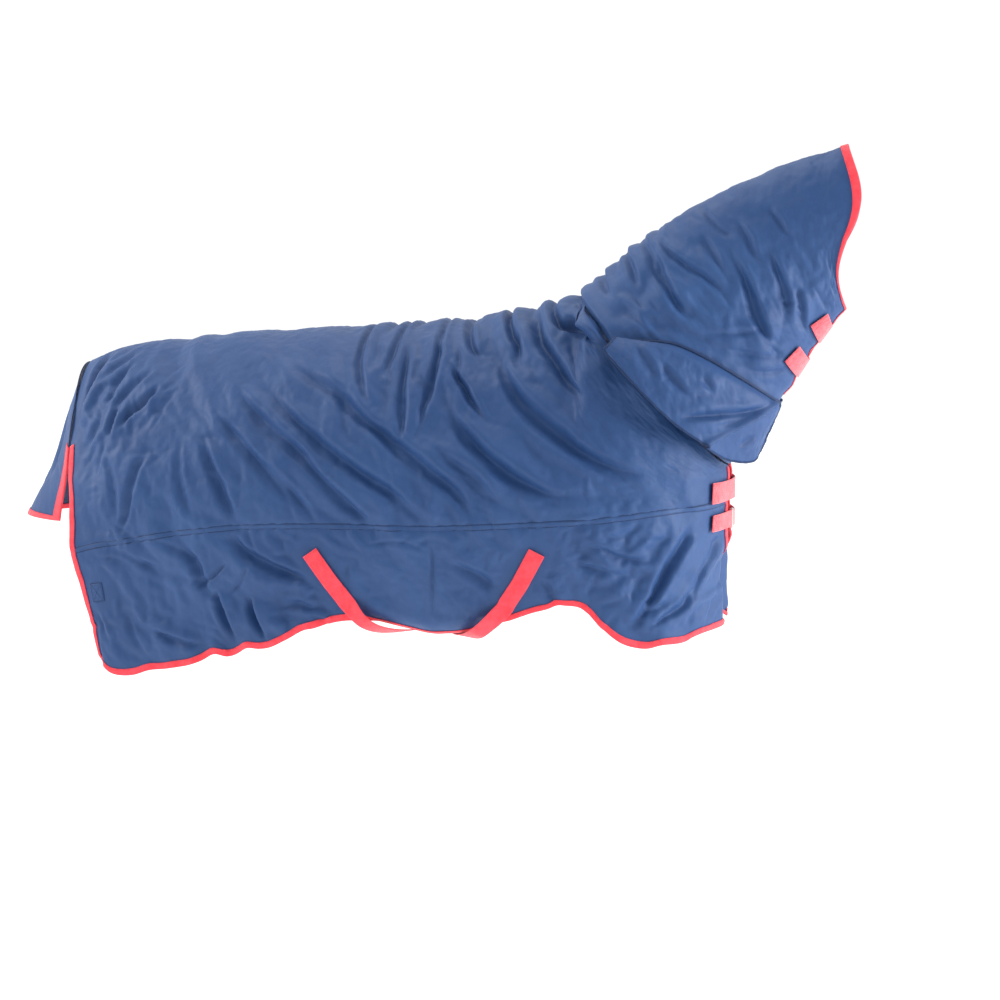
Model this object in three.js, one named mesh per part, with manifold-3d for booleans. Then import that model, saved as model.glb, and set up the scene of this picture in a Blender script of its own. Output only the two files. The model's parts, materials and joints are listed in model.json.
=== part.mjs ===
// Turnout rug with a neck cover, in the shape it takes when it is worn.
// Millimetres, +Z up, +X towards the head, +Y to the wearer's left.
// The origin is on the back at the withers, where the rug's weight hangs.

import * as THREE from 'three';
import { mergeVertices } from 'three/addons/utils/BufferGeometryUtils.js';
import Module from 'manifold-3d';

const wasm = await Module();
wasm.setup();

// ---------------------------------------------------------------- driving dimensions

const LINING = [0, 0.6]; // lift of the lining's two faces above the wearer
const SHELL = [0.9, 2.1]; // lift of the waterproof outer cloth's two faces
const TAPE = 1.0; // thickness of the folded binding tape
const GAP = 0.35; // clearance between neighbouring pieces
const TAPE_GAP = 0.85; // clearance inside the folded binding
const BINDING_WIDTH = 15; // visible width of the binding on each face
const WEBBING_WIDTH = 40;
const WEBBING_THICK = 2.2;
const STRAP_LIFT = 5.0; // webbing's inner face above the lining's inner face
const NECK_STRAP_WIDTH = 50;
const PLATE_THICK = 2.0; // stamped steel fittings
const RING_BAR = 4; // bar size of the D-rings
const SEAM_ROW = 7; // grid row of the long side seam
const WITHERS_RIB = 8; // the first rib whose top leaves the spine

// ---------------------------------------------------------------- colours

const NAVY = { color: 0x3a5687, roughness: 0.55, metalness: 0 };
const LINING_NAVY = { color: 0x2b3f66, roughness: 0.7, metalness: 0 };
const RED = { color: 0xd8313f, roughness: 0.7, metalness: 0 };
const HOOK_TAPE = { color: 0xe0606c, roughness: 0.9, metalness: 0 };
const STEEL = { color: 0xb9bcc0, roughness: 0.3, metalness: 1 };
const BLACK_RUBBER = { color: 0x1a1a1c, roughness: 0.8, metalness: 0 };

// ---------------------------------------------------------------- the worn shape

// Ribs of the body cloth from the tail to the chest, on one side.
// Each has its spine point [x, z], side-seam point and hem point [x, half-width, z],
// and how full its section is (1 a straight slope, 2 an ellipse).
// From the withers rib on, the top end lies on the neckline, at a share of its length.
const RIBS = [
  { top: [-1166, -130], seam: [-1112, 266, -592], hem: [-1048, 262, -848], full: 1.55 },
  { top: [-1100, -106], seam: [-1046, 282, -573], hem: [-1004, 280, -888], full: 1.75 },
  { top: [-1000, -85], seam: [-955, 300, -556], hem: [-915, 292, -880], full: 1.95 },
  { top: [-850, -70], seam: [-812, 320, -530], hem: [-780, 306, -842], full: 2.1 },
  { top: [-650, -51], seam: [-620, 338, -507], hem: [-595, 322, -794], full: 2.15 },
  { top: [-430, -39], seam: [-410, 346, -500], hem: [-395, 330, -722], full: 2.1 },
  { top: [-220, -30], seam: [-205, 346, -499], hem: [-205, 306, -744], full: 2.0 },
  { top: [-50, -8], seam: [-10, 336, -490], hem: [-70, 302, -732], full: 1.85 },
  { neckline: 0, seam: [118, 324, -482], hem: [62, 302, -689], full: 1.7 },
  { neckline: 0.2, seam: [196, 311, -476], hem: [152, 292, -677], full: 1.6 },
  { neckline: 0.36, seam: [262, 292, -469], hem: [210, 287, -728], full: 1.48 },
  { neckline: 0.52, seam: [330, 262, -461], hem: [265, 277, -766], full: 1.4 },
  { neckline: 0.68, seam: [396, 214, -457], hem: [340, 250, -776], full: 1.3 },
  { neckline: 0.83, seam: [446, 142, -454], hem: [414, 180, -757], full: 1.22 },
  { neckline: 0.965, seam: [472, 46, -452], hem: [480, 50, -748], full: 1.15 },
];

// Ribs of the neck cover from its base to the face opening: crest and throat points
// [x, z] and half-width.
const NECK_RIBS = [
  { crest: [112, 32], throat: [480, -370], wide: 230 },
  { crest: [205, 118], throat: [560, -262], wide: 192 },
  { crest: [305, 196], throat: [612, -180], wide: 158 },
  { crest: [420, 262], throat: [652, -115], wide: 134 },
  { crest: [540, 318], throat: [690, -55], wide: 118 },
  { crest: [645, 356], throat: [720, -16], wide: 110 },
  { crest: [738, 382], throat: [741, 6], wide: 106 },
];
const THROAT_GAP = 18; // each throat edge stands this far from the centre plane
const FACE_SWEEP = 30; // how far the face opening bows towards the head below the crest
const FACE_TUCK = 19; // and how far it draws back above the throat

// The neck flap hangs from a seam on the neck cover: along it, the seam's place on the neck
// surface and the free edge below [x, half-width, z].
const FLAP_RIBS = [
  { along: 0.14, round: 0.36, edge: [207, 252, -90] },
  { along: 0.5, round: 0.42, edge: [262, 268, -150] },
  { along: 0.82, round: 0.48, edge: [345, 264, -236] },
  { along: 1.05, round: 0.56, edge: [430, 228, -302] },
  { along: 1.25, round: 0.66, edge: [492, 162, -345] },
  { along: 1.45, round: 0.8, edge: [546, 92, -353] },
  { along: 1.62, round: 0.97, edge: [575, 42, -318] },
];
const FLAP_LIFT = 8; // flap's inner face above the neck at its seam
const FLAP_BULGE = 14; // how far it swells outward between the seam and its free edge

// The tail flap from its root to its free edge: centre line [x, z] and side edge
// [x, half-width, z].
const TAIL_RIBS = [
  { centre: [-1177, -136], edge: [-1170, 112, -224] },
  { centre: [-1191, -214], edge: [-1176, 134, -290] },
  { centre: [-1226, -315], edge: [-1184, 146, -372] },
  { centre: [-1286, -425], edge: [-1196, 152, -452] },
  { centre: [-1350, -530], edge: [-1210, 152, -530] },
];

// Cross surcingles: the stretch sewn or lying on the right side panel [x, z], and the
// free stretch that dips under the belly [x, y, z].
const SURCINGLES = {
  rear: {
    onPanel: [[-474, -562], [-428, -627], [-384, -684]],
    free: [[-342, -341, -727], [-300, -284, -753], [-248, -156, -770], [-205, 0, -777]],
  },
  front: {
    onPanel: [[62, -549], [20, -626], [-22, -690]],
    free: [[-72, -324, -738], [-112, -266, -762], [-162, -140, -782], [-205, 0, -791]],
  },
};
const STRAP_HINGE_Y = 56; // where the loose end of each surcingle begins
const STRAP_END_Y = 176; // where its webbing ends at the hook
const HOOK_REACH = 46; // hook plate's length past the webbing

// Stamped fittings of the surcingles.
const PLATE_HALF = 24; // half-width of the hook and slot plates
const HOOK = {
  shoulder: 16, neck: 24, neckHalf: 8, slot: [5, 11], slotHalf: 21, lipBack: 11, lipDrop: 5,
};
const SLOT_PLATE = { long: 34, hookSlot: [5, 15], hookHalf: 15, tabSlot: [23, 29], tabHalf: 21 };
const SLIDER = { long: 26, wide: 50, high: 5.4, side: 4, mouth: 3.4, bar: 4, barHigh: 1.4 };
const SLIDER_BACK = 62; // slider's place behind the webbing's end
const KEEPER = { long: 7, wide: 48, high: 6.6, wall: 1.5 };
const KEEPER_BACK = 24;
const CHEST_SLIDE = { long: 11, wide: 48, high: 6.4, wall: 1.5 };

// Throat straps: where along the neck cover each one closes it.
const NECK_STRAPS = [{ name: 'throat_lower', at: 2.72 }, { name: 'throat_upper', at: 4.05 }];

// Chest straps: height of the middle and width.
const CHEST_STRAPS = [
  { name: 'chest_upper', z: -424, width: 50 },
  { name: 'chest_lower', z: -496, width: 40 },
];
const CHEST_REACH = 440; // X where a chest strap starts on the side of the chest
const CHEST_EDGE = 471; // X where it leaves the front edge
const CHEST_HINGE_BACK = 9;
const CHEST_LIFT = 8.5; // clears the front binding
const CHEST_BOW = 17; // how far it bows forward across the gap
const THROAT_LIFT = 6.2;
const THROAT_PAD_LIFT = 3.6;

// Leg-strap anchors near the rear edge: place on the side panel, patch size and lifts.
const LEG_ANCHOR = {
  x: -1042, z: -688, long: 44, wide: 38, thick: 1.2, lift: 0.8, ringLift: 7,
};
const LOOP_THICK = 1.6; // one ply of the loops that hold rings

// ---------------------------------------------------------------- curve helpers

function catmull(values, at) {
  // Uniform Catmull-Rom through numbers, with the ends run on in a straight line.
  const last = values.length - 1;
  const i = Math.min(last - 1, Math.max(0, Math.floor(at)));
  const f = at - i;
  const b = values[i];
  const c = values[i + 1];
  const a = i > 0 ? values[i - 1] : 2 * b - c;
  const d = i + 2 <= last ? values[i + 2] : 2 * c - b;
  const cubic = (3 * (b - c) + d - a) * f * f * f;
  const square = (2 * a - 5 * b + 4 * c - d) * f * f;
  return b + 0.5 * ((c - a) * f + square + cubic);
}

function along(list, at) {
  // The same for a list of equally long number lists.
  return list[0].map((_, k) => catmull(list.map((item) => item[k]), at));
}

const vector = (x, y, z) => new THREE.Vector3(x, y, z);
const mirrored = (p) => vector(p.x, -p.y, p.z);

// ---------------------------------------------------------------- the surfaces (right side)

function neckPoint(a, round) {
  // a: 0 at the base to 6 at the face opening; round: 0 at the crest to 1 at the throat.
  const crest = along(NECK_RIBS.map((rib) => rib.crest), a);
  const throat = along(NECK_RIBS.map((rib) => rib.throat), a);
  const wide = catmull(NECK_RIBS.map((rib) => rib.wide), a);
  const share = (1 - Math.cos(Math.PI * round)) / 2;
  const bulge = Math.sin(Math.PI * round) ** 0.9;
  const bow = Math.sin(2 * Math.PI * share ** 1.25);
  const opening = Math.max(0, a - 5);
  const sweep = (bow > 0 ? FACE_SWEEP : FACE_TUCK) * bow * opening;
  return vector(
    crest[0] + (throat[0] - crest[0]) * share + sweep,
    -(wide * bulge + THROAT_GAP * round ** 4),
    crest[1] + (throat[1] - crest[1]) * share,
  );
}

function ribTop(rib) {
  if (rib.neckline === undefined) return [rib.top[0], 0, rib.top[1]];
  const p = neckPoint(0, rib.neckline);
  return [p.x, -p.y, p.z];
}

const TOPS = RIBS.map(ribTop);
const SEAMS = RIBS.map((rib) => rib.seam);
const HEMS = RIBS.map((rib) => rib.hem);
const FULLS = RIBS.map((rib) => rib.full);

function bodyPoint(u, v) {
  // u: 0 at the tail to 14 at the chest; v: 0 at the spine or neckline, 1 at the side seam,
  // 2 at the hem.
  const top = along(TOPS, u);
  if (u <= WITHERS_RIB) top[1] = 0;
  const seam = along(SEAMS, u);
  if (v > 1) {
    const hem = along(HEMS, u);
    const t = v - 1;
    const ease = t * t * (2 - t);
    return vector(
      seam[0] + (hem[0] - seam[0]) * t,
      -(seam[1] + (hem[1] - seam[1]) * ease),
      seam[2] + (hem[2] - seam[2]) * t,
    );
  }
  const power = 2 / catmull(FULLS, u);
  const phi = (v * Math.PI) / 2;
  const out = Math.sin(phi) ** power;
  const down = 1 - Math.cos(phi) ** power;
  return vector(
    top[0] + (seam[0] - top[0]) * down,
    -(top[1] + (seam[1] - top[1]) * out),
    top[2] + (seam[2] - top[2]) * down,
  );
}

// ---------------------------------------------------------------- cloth grids

// A grid holds point[row][column] and the outward normal at each.
function makeGrid(rows, columns, pointAt, outward) {
  const point = [];
  for (let r = 0; r < rows; r++) {
    point.push(Array.from({ length: columns }, (_, c) => pointAt(r, c)));
  }
  const normal = point.map((row, r) => row.map((_, c) => {
    const down = point[Math.min(rows - 1, r + 1)][c].clone().sub(point[Math.max(0, r - 1)][c]);
    const ahead = row[Math.min(columns - 1, c + 1)].clone().sub(row[Math.max(0, c - 1)]);
    const n = down.cross(ahead).normalize();
    return n.dot(outward(point[r][c])) < 0 ? n.negate() : n;
  }));
  return { point, normal, rows, columns };
}

function mirrorGrid(grid) {
  return {
    point: grid.point.map((row) => row.map(mirrored)),
    normal: grid.normal.map((row) => row.map(mirrored)),
    rows: grid.rows,
    columns: grid.columns,
  };
}

function partOf(grid, [r0, r1], [c0, c1]) {
  const cut = (table) => table.slice(r0, r1 + 1).map((row) => row.slice(c0, c1 + 1));
  return {
    point: cut(grid.point), normal: cut(grid.normal), rows: r1 - r0 + 1, columns: c1 - c0 + 1,
  };
}

function trimRow(grid, row, neighbour) {
  // Draws one edge row back from its neighbour piece by the clearance.
  const point = grid.point.map((line) => line.map((p) => p.clone()));
  point[row].forEach((p, c) => {
    const inward = grid.point[neighbour][c].clone().sub(p).setLength(GAP);
    p.add(inward);
  });
  return { ...grid, point };
}

function trimColumn(grid, column, neighbour) {
  const point = grid.point.map((line) => line.map((p) => p.clone()));
  point.forEach((line, r) => {
    line[column].add(grid.point[r][neighbour].clone().sub(line[column]).setLength(GAP));
  });
  return { ...grid, point };
}

function lifted(grid, r, c, lift) {
  return grid.point[r][c].clone().addScaledVector(grid.normal[r][c], lift);
}

function solid(triangles) {
  // Triangles as lists of three Vector3 become one merged, indexed geometry.
  const flat = triangles.flatMap((t) => t.flatMap((p) => [p.x, p.y, p.z]));
  const raw = new THREE.BufferGeometry();
  raw.setAttribute('position', new THREE.Float32BufferAttribute(flat, 3));
  const merged = mergeVertices(raw, 1e-3);
  const index = merged.index.array;
  const kept = [];
  for (let i = 0; i < index.length; i += 3) {
    const [a, b, c] = [index[i], index[i + 1], index[i + 2]];
    if (a !== b && b !== c && c !== a) kept.push(a, b, c);
  }
  merged.setIndex(kept);
  return facingOut(merged);
}

function facingOut(geometry) {
  const p = geometry.attributes.position;
  const index = geometry.index.array;
  const at = (i) => vector(p.getX(i), p.getY(i), p.getZ(i));
  let volume = 0;
  for (let i = 0; i < index.length; i += 3) {
    volume += at(index[i]).dot(at(index[i + 1]).cross(at(index[i + 2])));
  }
  if (volume < 0) {
    const turned = [];
    for (let i = 0; i < index.length; i += 3) turned.push(index[i], index[i + 2], index[i + 1]);
    geometry.setIndex(turned);
  }
  geometry.computeVertexNormals();
  return geometry;
}

function thickened(grids, [low, high]) {
  // One closed skin round one or more grids that may share vertices: an outer face, an inner
  // face, and a wall along every edge that only one cell uses.
  const triangles = [];
  const uses = new Map();
  const key = (p) => p.toArray().map((n) => n.toFixed(2)).join();
  const addWall = (a, b) => {
    const name = [key(a.base), key(b.base)].sort().join('|');
    uses.set(name, uses.has(name) ? null : [a, b]);
  };
  grids.forEach((grid) => {
    for (let r = 0; r + 1 < grid.rows; r++) {
      for (let c = 0; c + 1 < grid.columns; c++) {
        const corners = [[r, c], [r + 1, c], [r + 1, c + 1], [r, c + 1]].map(([i, j]) => ({
          base: grid.point[i][j],
          out: lifted(grid, i, j, high),
          inn: lifted(grid, i, j, low),
        }));
        const [a, b, d, e] = corners;
        const flip = grid.flip;
        const order = flip ? [a, e, d, b] : [a, b, d, e];
        triangles.push([order[0].out, order[1].out, order[2].out]);
        triangles.push([order[0].out, order[2].out, order[3].out]);
        triangles.push([order[0].inn, order[2].inn, order[1].inn]);
        triangles.push([order[0].inn, order[3].inn, order[2].inn]);
        for (let k = 0; k < 4; k++) addWall(order[k], order[(k + 1) % 4]);
      }
    }
  });
  uses.forEach((edge) => {
    if (!edge) return;
    const [a, b] = edge;
    triangles.push([a.inn, b.inn, b.out]);
    triangles.push([a.inn, b.out, a.out]);
  });
  return solid(triangles);
}

function swept(sections, turned = []) {
  // Closed sweep of polygon sections of equal corner count, capped at both ends. Every other
  // long face runs back the other way, so its diagonal is swapped to match the cloth inside;
  // a turned step swaps them all.
  const triangles = [];
  const sides = sections[0].length;
  for (let i = 0; i + 1 < sections.length; i++) {
    for (let k = 0; k < sides; k++) {
      const m = (k + 1) % sides;
      const [a, b] = [sections[i][k], sections[i][m]];
      const [c, d] = [sections[i + 1][m], sections[i + 1][k]];
      const swap = k % 4 === 2 ? !turned[i] : Boolean(turned[i]);
      if (!swap) triangles.push([a, b, c], [a, c, d]);
      else triangles.push([a, b, d], [b, c, d]);
    }
  }
  const caps = THREE.ShapeUtils.triangulateShape;
  const cap = (section, reverse) => {
    const frame = planeOf(section);
    const flat = section.map((p) => frame(p));
    caps(flat, []).forEach(([a, b, c]) => {
      const face = [section[a], section[b], section[c]];
      triangles.push(reverse ? face.reverse() : face);
    });
  };
  cap(sections[0], true);
  cap(sections[sections.length - 1], false);
  return solid(triangles);
}

function planeOf(section) {
  const origin = section[0];
  const x = section[1].clone().sub(origin).normalize();
  const far = section.reduce((best, p) => {
    const off = p.clone().sub(origin);
    const size = off.clone().cross(x).length();
    return size > best.size ? { off, size } : best;
  }, { off: x, size: 0 });
  const z = x.clone().cross(far.off).normalize();
  const y = z.clone().cross(x);
  return (p) => {
    const off = p.clone().sub(origin);
    return new THREE.Vector2(off.dot(x), off.dot(y));
  };
}

// ---------------------------------------------------------------- pieces made from grids

function bindingAlong(line) {
  // line: per step { edge, edgeNormal, back, backNormal, turned } on the lining's inner face.
  const outer = [SHELL[1] + TAPE_GAP, SHELL[1] + TAPE_GAP + TAPE];
  const inner = [LINING[0] - TAPE_GAP, LINING[0] - TAPE_GAP - TAPE];
  return swept(line.map(({ edge, edgeNormal, back, backNormal }) => {
    const away = edge.clone().sub(back).normalize();
    const at = (base, normal, lift, off = 0) => base.clone()
      .addScaledVector(normal, lift).addScaledVector(away, off);
    return [
      at(back, backNormal, outer[1]),
      at(edge, edgeNormal, outer[1], TAPE_GAP + TAPE),
      at(edge, edgeNormal, inner[1], TAPE_GAP + TAPE),
      at(back, backNormal, inner[1]),
      at(back, backNormal, inner[0]),
      at(edge, edgeNormal, inner[0], TAPE_GAP),
      at(edge, edgeNormal, outer[0], TAPE_GAP),
      at(back, backNormal, outer[0]),
    ];
  }), line.map((step) => step.turned));
}

function rowBinding(grid, edgeRow, backRow, [c0, c1]) {
  const line = [];
  for (let c = c0; c <= c1; c++) {
    line.push({
      edge: grid.point[edgeRow][c], edgeNormal: grid.normal[edgeRow][c],
      back: grid.point[backRow][c], backNormal: grid.normal[backRow][c],
    });
  }
  return bindingAlong(line);
}

function columnBinding(grid, edgeColumn, backColumn, [r0, r1]) {
  const line = [];
  for (let r = r0; r <= r1; r++) {
    line.push({
      edge: grid.point[r][edgeColumn], edgeNormal: grid.normal[r][edgeColumn],
      back: grid.point[r][backColumn], backNormal: grid.normal[r][backColumn],
      turned: edgeColumn < backColumn,
    });
  }
  return bindingAlong(line);
}

function onGrid(grid, r, c) {
  // Point and normal at fractional rows and columns, on the flat facets.
  const i = Math.min(grid.rows - 2, Math.max(0, Math.floor(r)));
  const j = Math.min(grid.columns - 2, Math.max(0, Math.floor(c)));
  const [f, g] = [r - i, c - j];
  const mix = (table) => {
    const near = table[i][j].clone().lerp(table[i][j + 1], g);
    const next = table[i + 1][j].clone().lerp(table[i + 1][j + 1], g);
    return near.lerp(next, f);
  };
  return { point: mix(grid.point), normal: mix(grid.normal).normalize() };
}

function findOnGrid(grid, x, z) {
  // The place on the side of the grid straight across from (x, z), by Newton-like steps.
  let [r, c] = [grid.rows * 0.7, grid.columns * 0.5];
  const step = 0.05;
  for (let pass = 0; pass < 40; pass++) {
    const here = onGrid(grid, r, c).point;
    const down = onGrid(grid, r + step, c).point.sub(here).divideScalar(step);
    const ahead = onGrid(grid, r, c + step).point.sub(here).divideScalar(step);
    const det = down.x * ahead.z - down.z * ahead.x;
    const [dx, dz] = [x - here.x, z - here.z];
    r += 0.6 * (dx * ahead.z - dz * ahead.x) / det;
    c += 0.6 * (down.x * dz - down.z * dx) / det;
    r = Math.min(grid.rows - 1.01, Math.max(0, r));
    c = Math.min(grid.columns - 1.01, Math.max(0, c));
  }
  return { r, c, ...onGrid(grid, r, c) };
}

function strip(points, normals, width, low, high) {
  // A flat band along points; its width runs across the route, square to the normals.
  const sections = points.map((p, i) => {
    const before = points[Math.max(0, i - 1)];
    const after = points[Math.min(points.length - 1, i + 1)];
    const ahead = after.clone().sub(before).normalize();
    const side = ahead.clone().cross(normals[i]).normalize();
    const up = side.clone().cross(ahead).normalize();
    const at = (across, lift) => p.clone()
      .addScaledVector(side, across).addScaledVector(up, lift);
    return [at(-width / 2, low), at(width / 2, low), at(width / 2, high), at(-width / 2, high)];
  });
  return swept(sections);
}

// ---------------------------------------------------------------- booleans

function toManifold(geometry) {
  const bare = geometry.clone();
  bare.deleteAttribute('normal');
  bare.deleteAttribute('uv');
  const merged = mergeVertices(bare, 1e-3);
  return new wasm.Manifold(new wasm.Mesh({
    numProp: 3,
    vertProperties: Float32Array.from(merged.attributes.position.array),
    triVerts: Uint32Array.from(merged.index.array),
  }));
}

function fromManifold(body) {
  const mesh = body.getMesh();
  const geometry = new THREE.BufferGeometry();
  geometry.setAttribute('position', new THREE.BufferAttribute(mesh.vertProperties, 3));
  geometry.setIndex(new THREE.BufferAttribute(mesh.triVerts, 1));
  geometry.computeVertexNormals();
  return geometry;
}

// ---------------------------------------------------------------- scene graph

const group = new THREE.Group();

function addMesh(name, geometry, finish, parent = group) {
  const mesh = new THREE.Mesh(geometry, new THREE.MeshStandardMaterial(finish));
  mesh.name = name;
  parent.add(mesh);
  return mesh;
}

function seat(point, out, ahead) {
  // A group whose Z is the outward direction and whose X follows ahead.
  const z = out.clone().normalize();
  const x = ahead.clone().addScaledVector(z, -ahead.dot(z)).normalize();
  const y = z.clone().cross(x);
  const holder = new THREE.Group();
  holder.applyMatrix4(new THREE.Matrix4().makeBasis(x, y, z).setPosition(point));
  group.add(holder);
  return holder;
}

// ---------------------------------------------------------------- body cloth

const COLUMN_STEPS = [0, 0.22, 1, 2, 3, 4, 5, 5.5, 6, 6.5, 7, 7.5, 8, 8.5, 9, 9.5, 10, 10.5,
  11, 11.5, 12, 12.5, 13, 13.78, 14];
const TOP_ROWS = [0, 0.16, 0.31, 0.45, 0.59, 0.73, 0.87, 1];
const SKIRT_ROWS = 4;

function bodyRowValue(r, u) {
  if (r <= SEAM_ROW) return TOP_ROWS[r];
  const seam = bodyPoint(u, 1);
  const drop = seam.distanceTo(bodyPoint(u, 2));
  const back = 2 - BINDING_WIDTH / drop;
  const share = (r - SEAM_ROW) / SKIRT_ROWS;
  return share <= 1 ? 1 + (back - 1) * share : 2;
}

const fromBarrel = (p) => vector(p.x > 300 ? p.x - 300 : 0, p.y, p.z + 400);
const BODY_ROWS = SEAM_ROW + SKIRT_ROWS + 2;
const bodyRight = makeGrid(BODY_ROWS, COLUMN_STEPS.length, (r, c) => {
  const u = COLUMN_STEPS[c];
  return bodyPoint(u, bodyRowValue(r, u));
}, fromBarrel);
const LAST_COLUMN = COLUMN_STEPS.length - 1;
const HEM_ROW = BODY_ROWS - 1;
const WITHERS_COLUMN = COLUMN_STEPS.indexOf(WITHERS_RIB);
for (let c = 0; c <= WITHERS_COLUMN; c++) bodyRight.normal[0][c].setY(0).normalize();
const bodyLeft = mirrorGrid(bodyRight);
bodyLeft.flip = true;

const bothSides = (make) => [['right', bodyRight], ['left', bodyLeft]].forEach(make);

function sideCut(grid, rows, trimBottom) {
  const cut = partOf(grid, rows, [0, LAST_COLUMN]);
  cut.flip = grid.flip;
  const drawn = trimBottom ? trimRow(cut, cut.rows - 1, cut.rows - 2) : cut;
  drawn.flip = grid.flip;
  return drawn;
}

addMesh('back_panel', thickened([
  sideCut(bodyRight, [0, SEAM_ROW], true),
  sideCut(bodyLeft, [0, SEAM_ROW], true),
], SHELL), NAVY);
addMesh('body_lining', thickened([
  sideCut(bodyRight, [0, HEM_ROW], false),
  sideCut(bodyLeft, [0, HEM_ROW], false),
], LINING), LINING_NAVY);

bothSides(([side, grid]) => {
  const skirt = partOf(grid, [SEAM_ROW, HEM_ROW], [0, LAST_COLUMN]);
  const trimmed = trimRow(skirt, 0, 1);
  trimmed.flip = grid.flip;
  addMesh(`side_panel_${side}`, thickened([trimmed], SHELL), NAVY);

  const seamPoints = [];
  const seamNormals = [];
  for (let c = 2; c < LAST_COLUMN - 1; c++) {
    seamPoints.push(grid.point[SEAM_ROW][c]);
    seamNormals.push(grid.normal[SEAM_ROW][c]);
  }
  addMesh(`side_seam_${side}`, strip(seamPoints, seamNormals, 12, 2.9, 3.9), NAVY);

  const hemLine = trimColumn(trimColumn(
    partOf(grid, [HEM_ROW - 1, HEM_ROW], [1, LAST_COLUMN - 1]), 0, 1),
  LAST_COLUMN - 2, LAST_COLUMN - 3);
  addMesh(`hem_binding_${side}`, rowBinding(hemLine, 1, 0, [0, LAST_COLUMN - 2]), RED);
  addMesh(`rear_binding_${side}`, columnBinding(grid, 0, 1, [2, HEM_ROW]), RED);
  addMesh(`front_binding_${side}`,
    columnBinding(grid, LAST_COLUMN, LAST_COLUMN - 1, [1, HEM_ROW]), RED);
});

// ---------------------------------------------------------------- neck cover

const NECK_COLUMNS = [0.06, 1, 2, 3, 4, 5, 5.86, 6];
const NECK_ROWS = [0, 0.09, 0.2, 0.31, 0.42, 0.53, 0.64, 0.75, 0.86, 0.955, 1];
const neckRight = makeGrid(NECK_ROWS.length, NECK_COLUMNS.length, (r, c) => (
  neckPoint(NECK_COLUMNS[c], NECK_ROWS[r])
), (p) => vector(0, p.y, 0.0001));
const NECK_LAST_ROW = NECK_ROWS.length - 1;
const NECK_LAST_COLUMN = NECK_COLUMNS.length - 1;
neckRight.normal[0].forEach((n) => {
  n.setY(0).normalize();
  if (n.z < 0) n.negate();
});
const neckLeft = mirrorGrid(neckRight);
neckLeft.flip = true;

addMesh('neck_panel', thickened([neckRight, neckLeft], SHELL), NAVY);
addMesh('neck_lining', thickened([neckRight, neckLeft], LINING), LINING_NAVY);

const faceLine = (grid, turned) => {
  const line = [];
  for (let r = 0; r <= NECK_LAST_ROW; r++) {
    line.push({
      edge: grid.point[r][NECK_LAST_COLUMN], edgeNormal: grid.normal[r][NECK_LAST_COLUMN],
      back: grid.point[r][NECK_LAST_COLUMN - 1], backNormal: grid.normal[r][NECK_LAST_COLUMN - 1],
      turned,
    });
  }
  return line;
};
addMesh('face_binding', bindingAlong([
  ...faceLine(neckLeft, true).reverse().slice(0, -1), ...faceLine(neckRight, false),
]), RED);
[['right', neckRight], ['left', neckLeft]].forEach(([side, grid]) => {
  const cut = partOf(grid, [NECK_LAST_ROW - 1, NECK_LAST_ROW], [2, NECK_LAST_COLUMN - 1]);
  const last = cut.columns - 1;
  const line = trimColumn(cut, last, last - 1);
  addMesh(`throat_binding_${side}`, rowBinding(line, 1, 0, [0, last]), RED);
});

// ---------------------------------------------------------------- neck flaps

const FLAP_COLUMNS = 13;
const FLAP_ROWS = 5;
const flapPlace = (k) => along(FLAP_RIBS.map((rib) => [rib.along, rib.round]), k);

function neckNormal(a, round) {
  const step = 0.02;
  const ahead = neckPoint(a + step, round).sub(neckPoint(a - step, round));
  const down = neckPoint(a, Math.min(1, round + step)).sub(neckPoint(a, round - step));
  const n = down.cross(ahead).normalize();
  return n.y > 0 ? n.negate() : n;
}

function flapPoint(k, t) {
  const [a, round] = flapPlace(k);
  const root = neckPoint(a, round);
  const normal = neckNormal(a, round);
  const [x, wide, z] = along(FLAP_RIBS.map((rib) => rib.edge), k);
  const edge = vector(x, -wide, z);
  const bulge = Math.sin(Math.PI * t * 0.9) * FLAP_BULGE;
  return root.addScaledVector(normal, FLAP_LIFT).lerp(edge, t).add(vector(0, -bulge, 0));
}

const flapRight = makeGrid(FLAP_ROWS, FLAP_COLUMNS, (r, c) => (
  flapPoint((c * (FLAP_RIBS.length - 1)) / (FLAP_COLUMNS - 1), r / (FLAP_ROWS - 1))
), (p) => vector(p.x > 540 ? 1 : 0.2, p.y * 0.02, 0));
const FLAP_THICK = [0, 1.8];
const PIPE = 3.2;
[['right', flapRight], ['left', mirrorGrid(flapRight)]].forEach(([side, grid]) => {
  grid.flip = side === 'left';
  addMesh(`neck_flap_${side}`, thickened([grid], FLAP_THICK), NAVY);
  const last = FLAP_ROWS - 1;
  const rim = grid.point[last].map((p, c) => ({ p, back: grid.point[last - 1][c] }));
  const sections = rim.map(({ p, back }, c) => {
    const away = p.clone().sub(back).normalize();
    const n = grid.normal[last][c];
    const at = (a, b) => p.clone().addScaledVector(away, a).addScaledVector(n, b);
    return [at(1, -0.5), at(1 + PIPE, -0.5), at(1 + PIPE, 2.6), at(1, 2.6)];
  });
  addMesh(`neck_flap_piping_${side}`, swept(sections), NAVY);
});

// ---------------------------------------------------------------- tail flap

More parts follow.
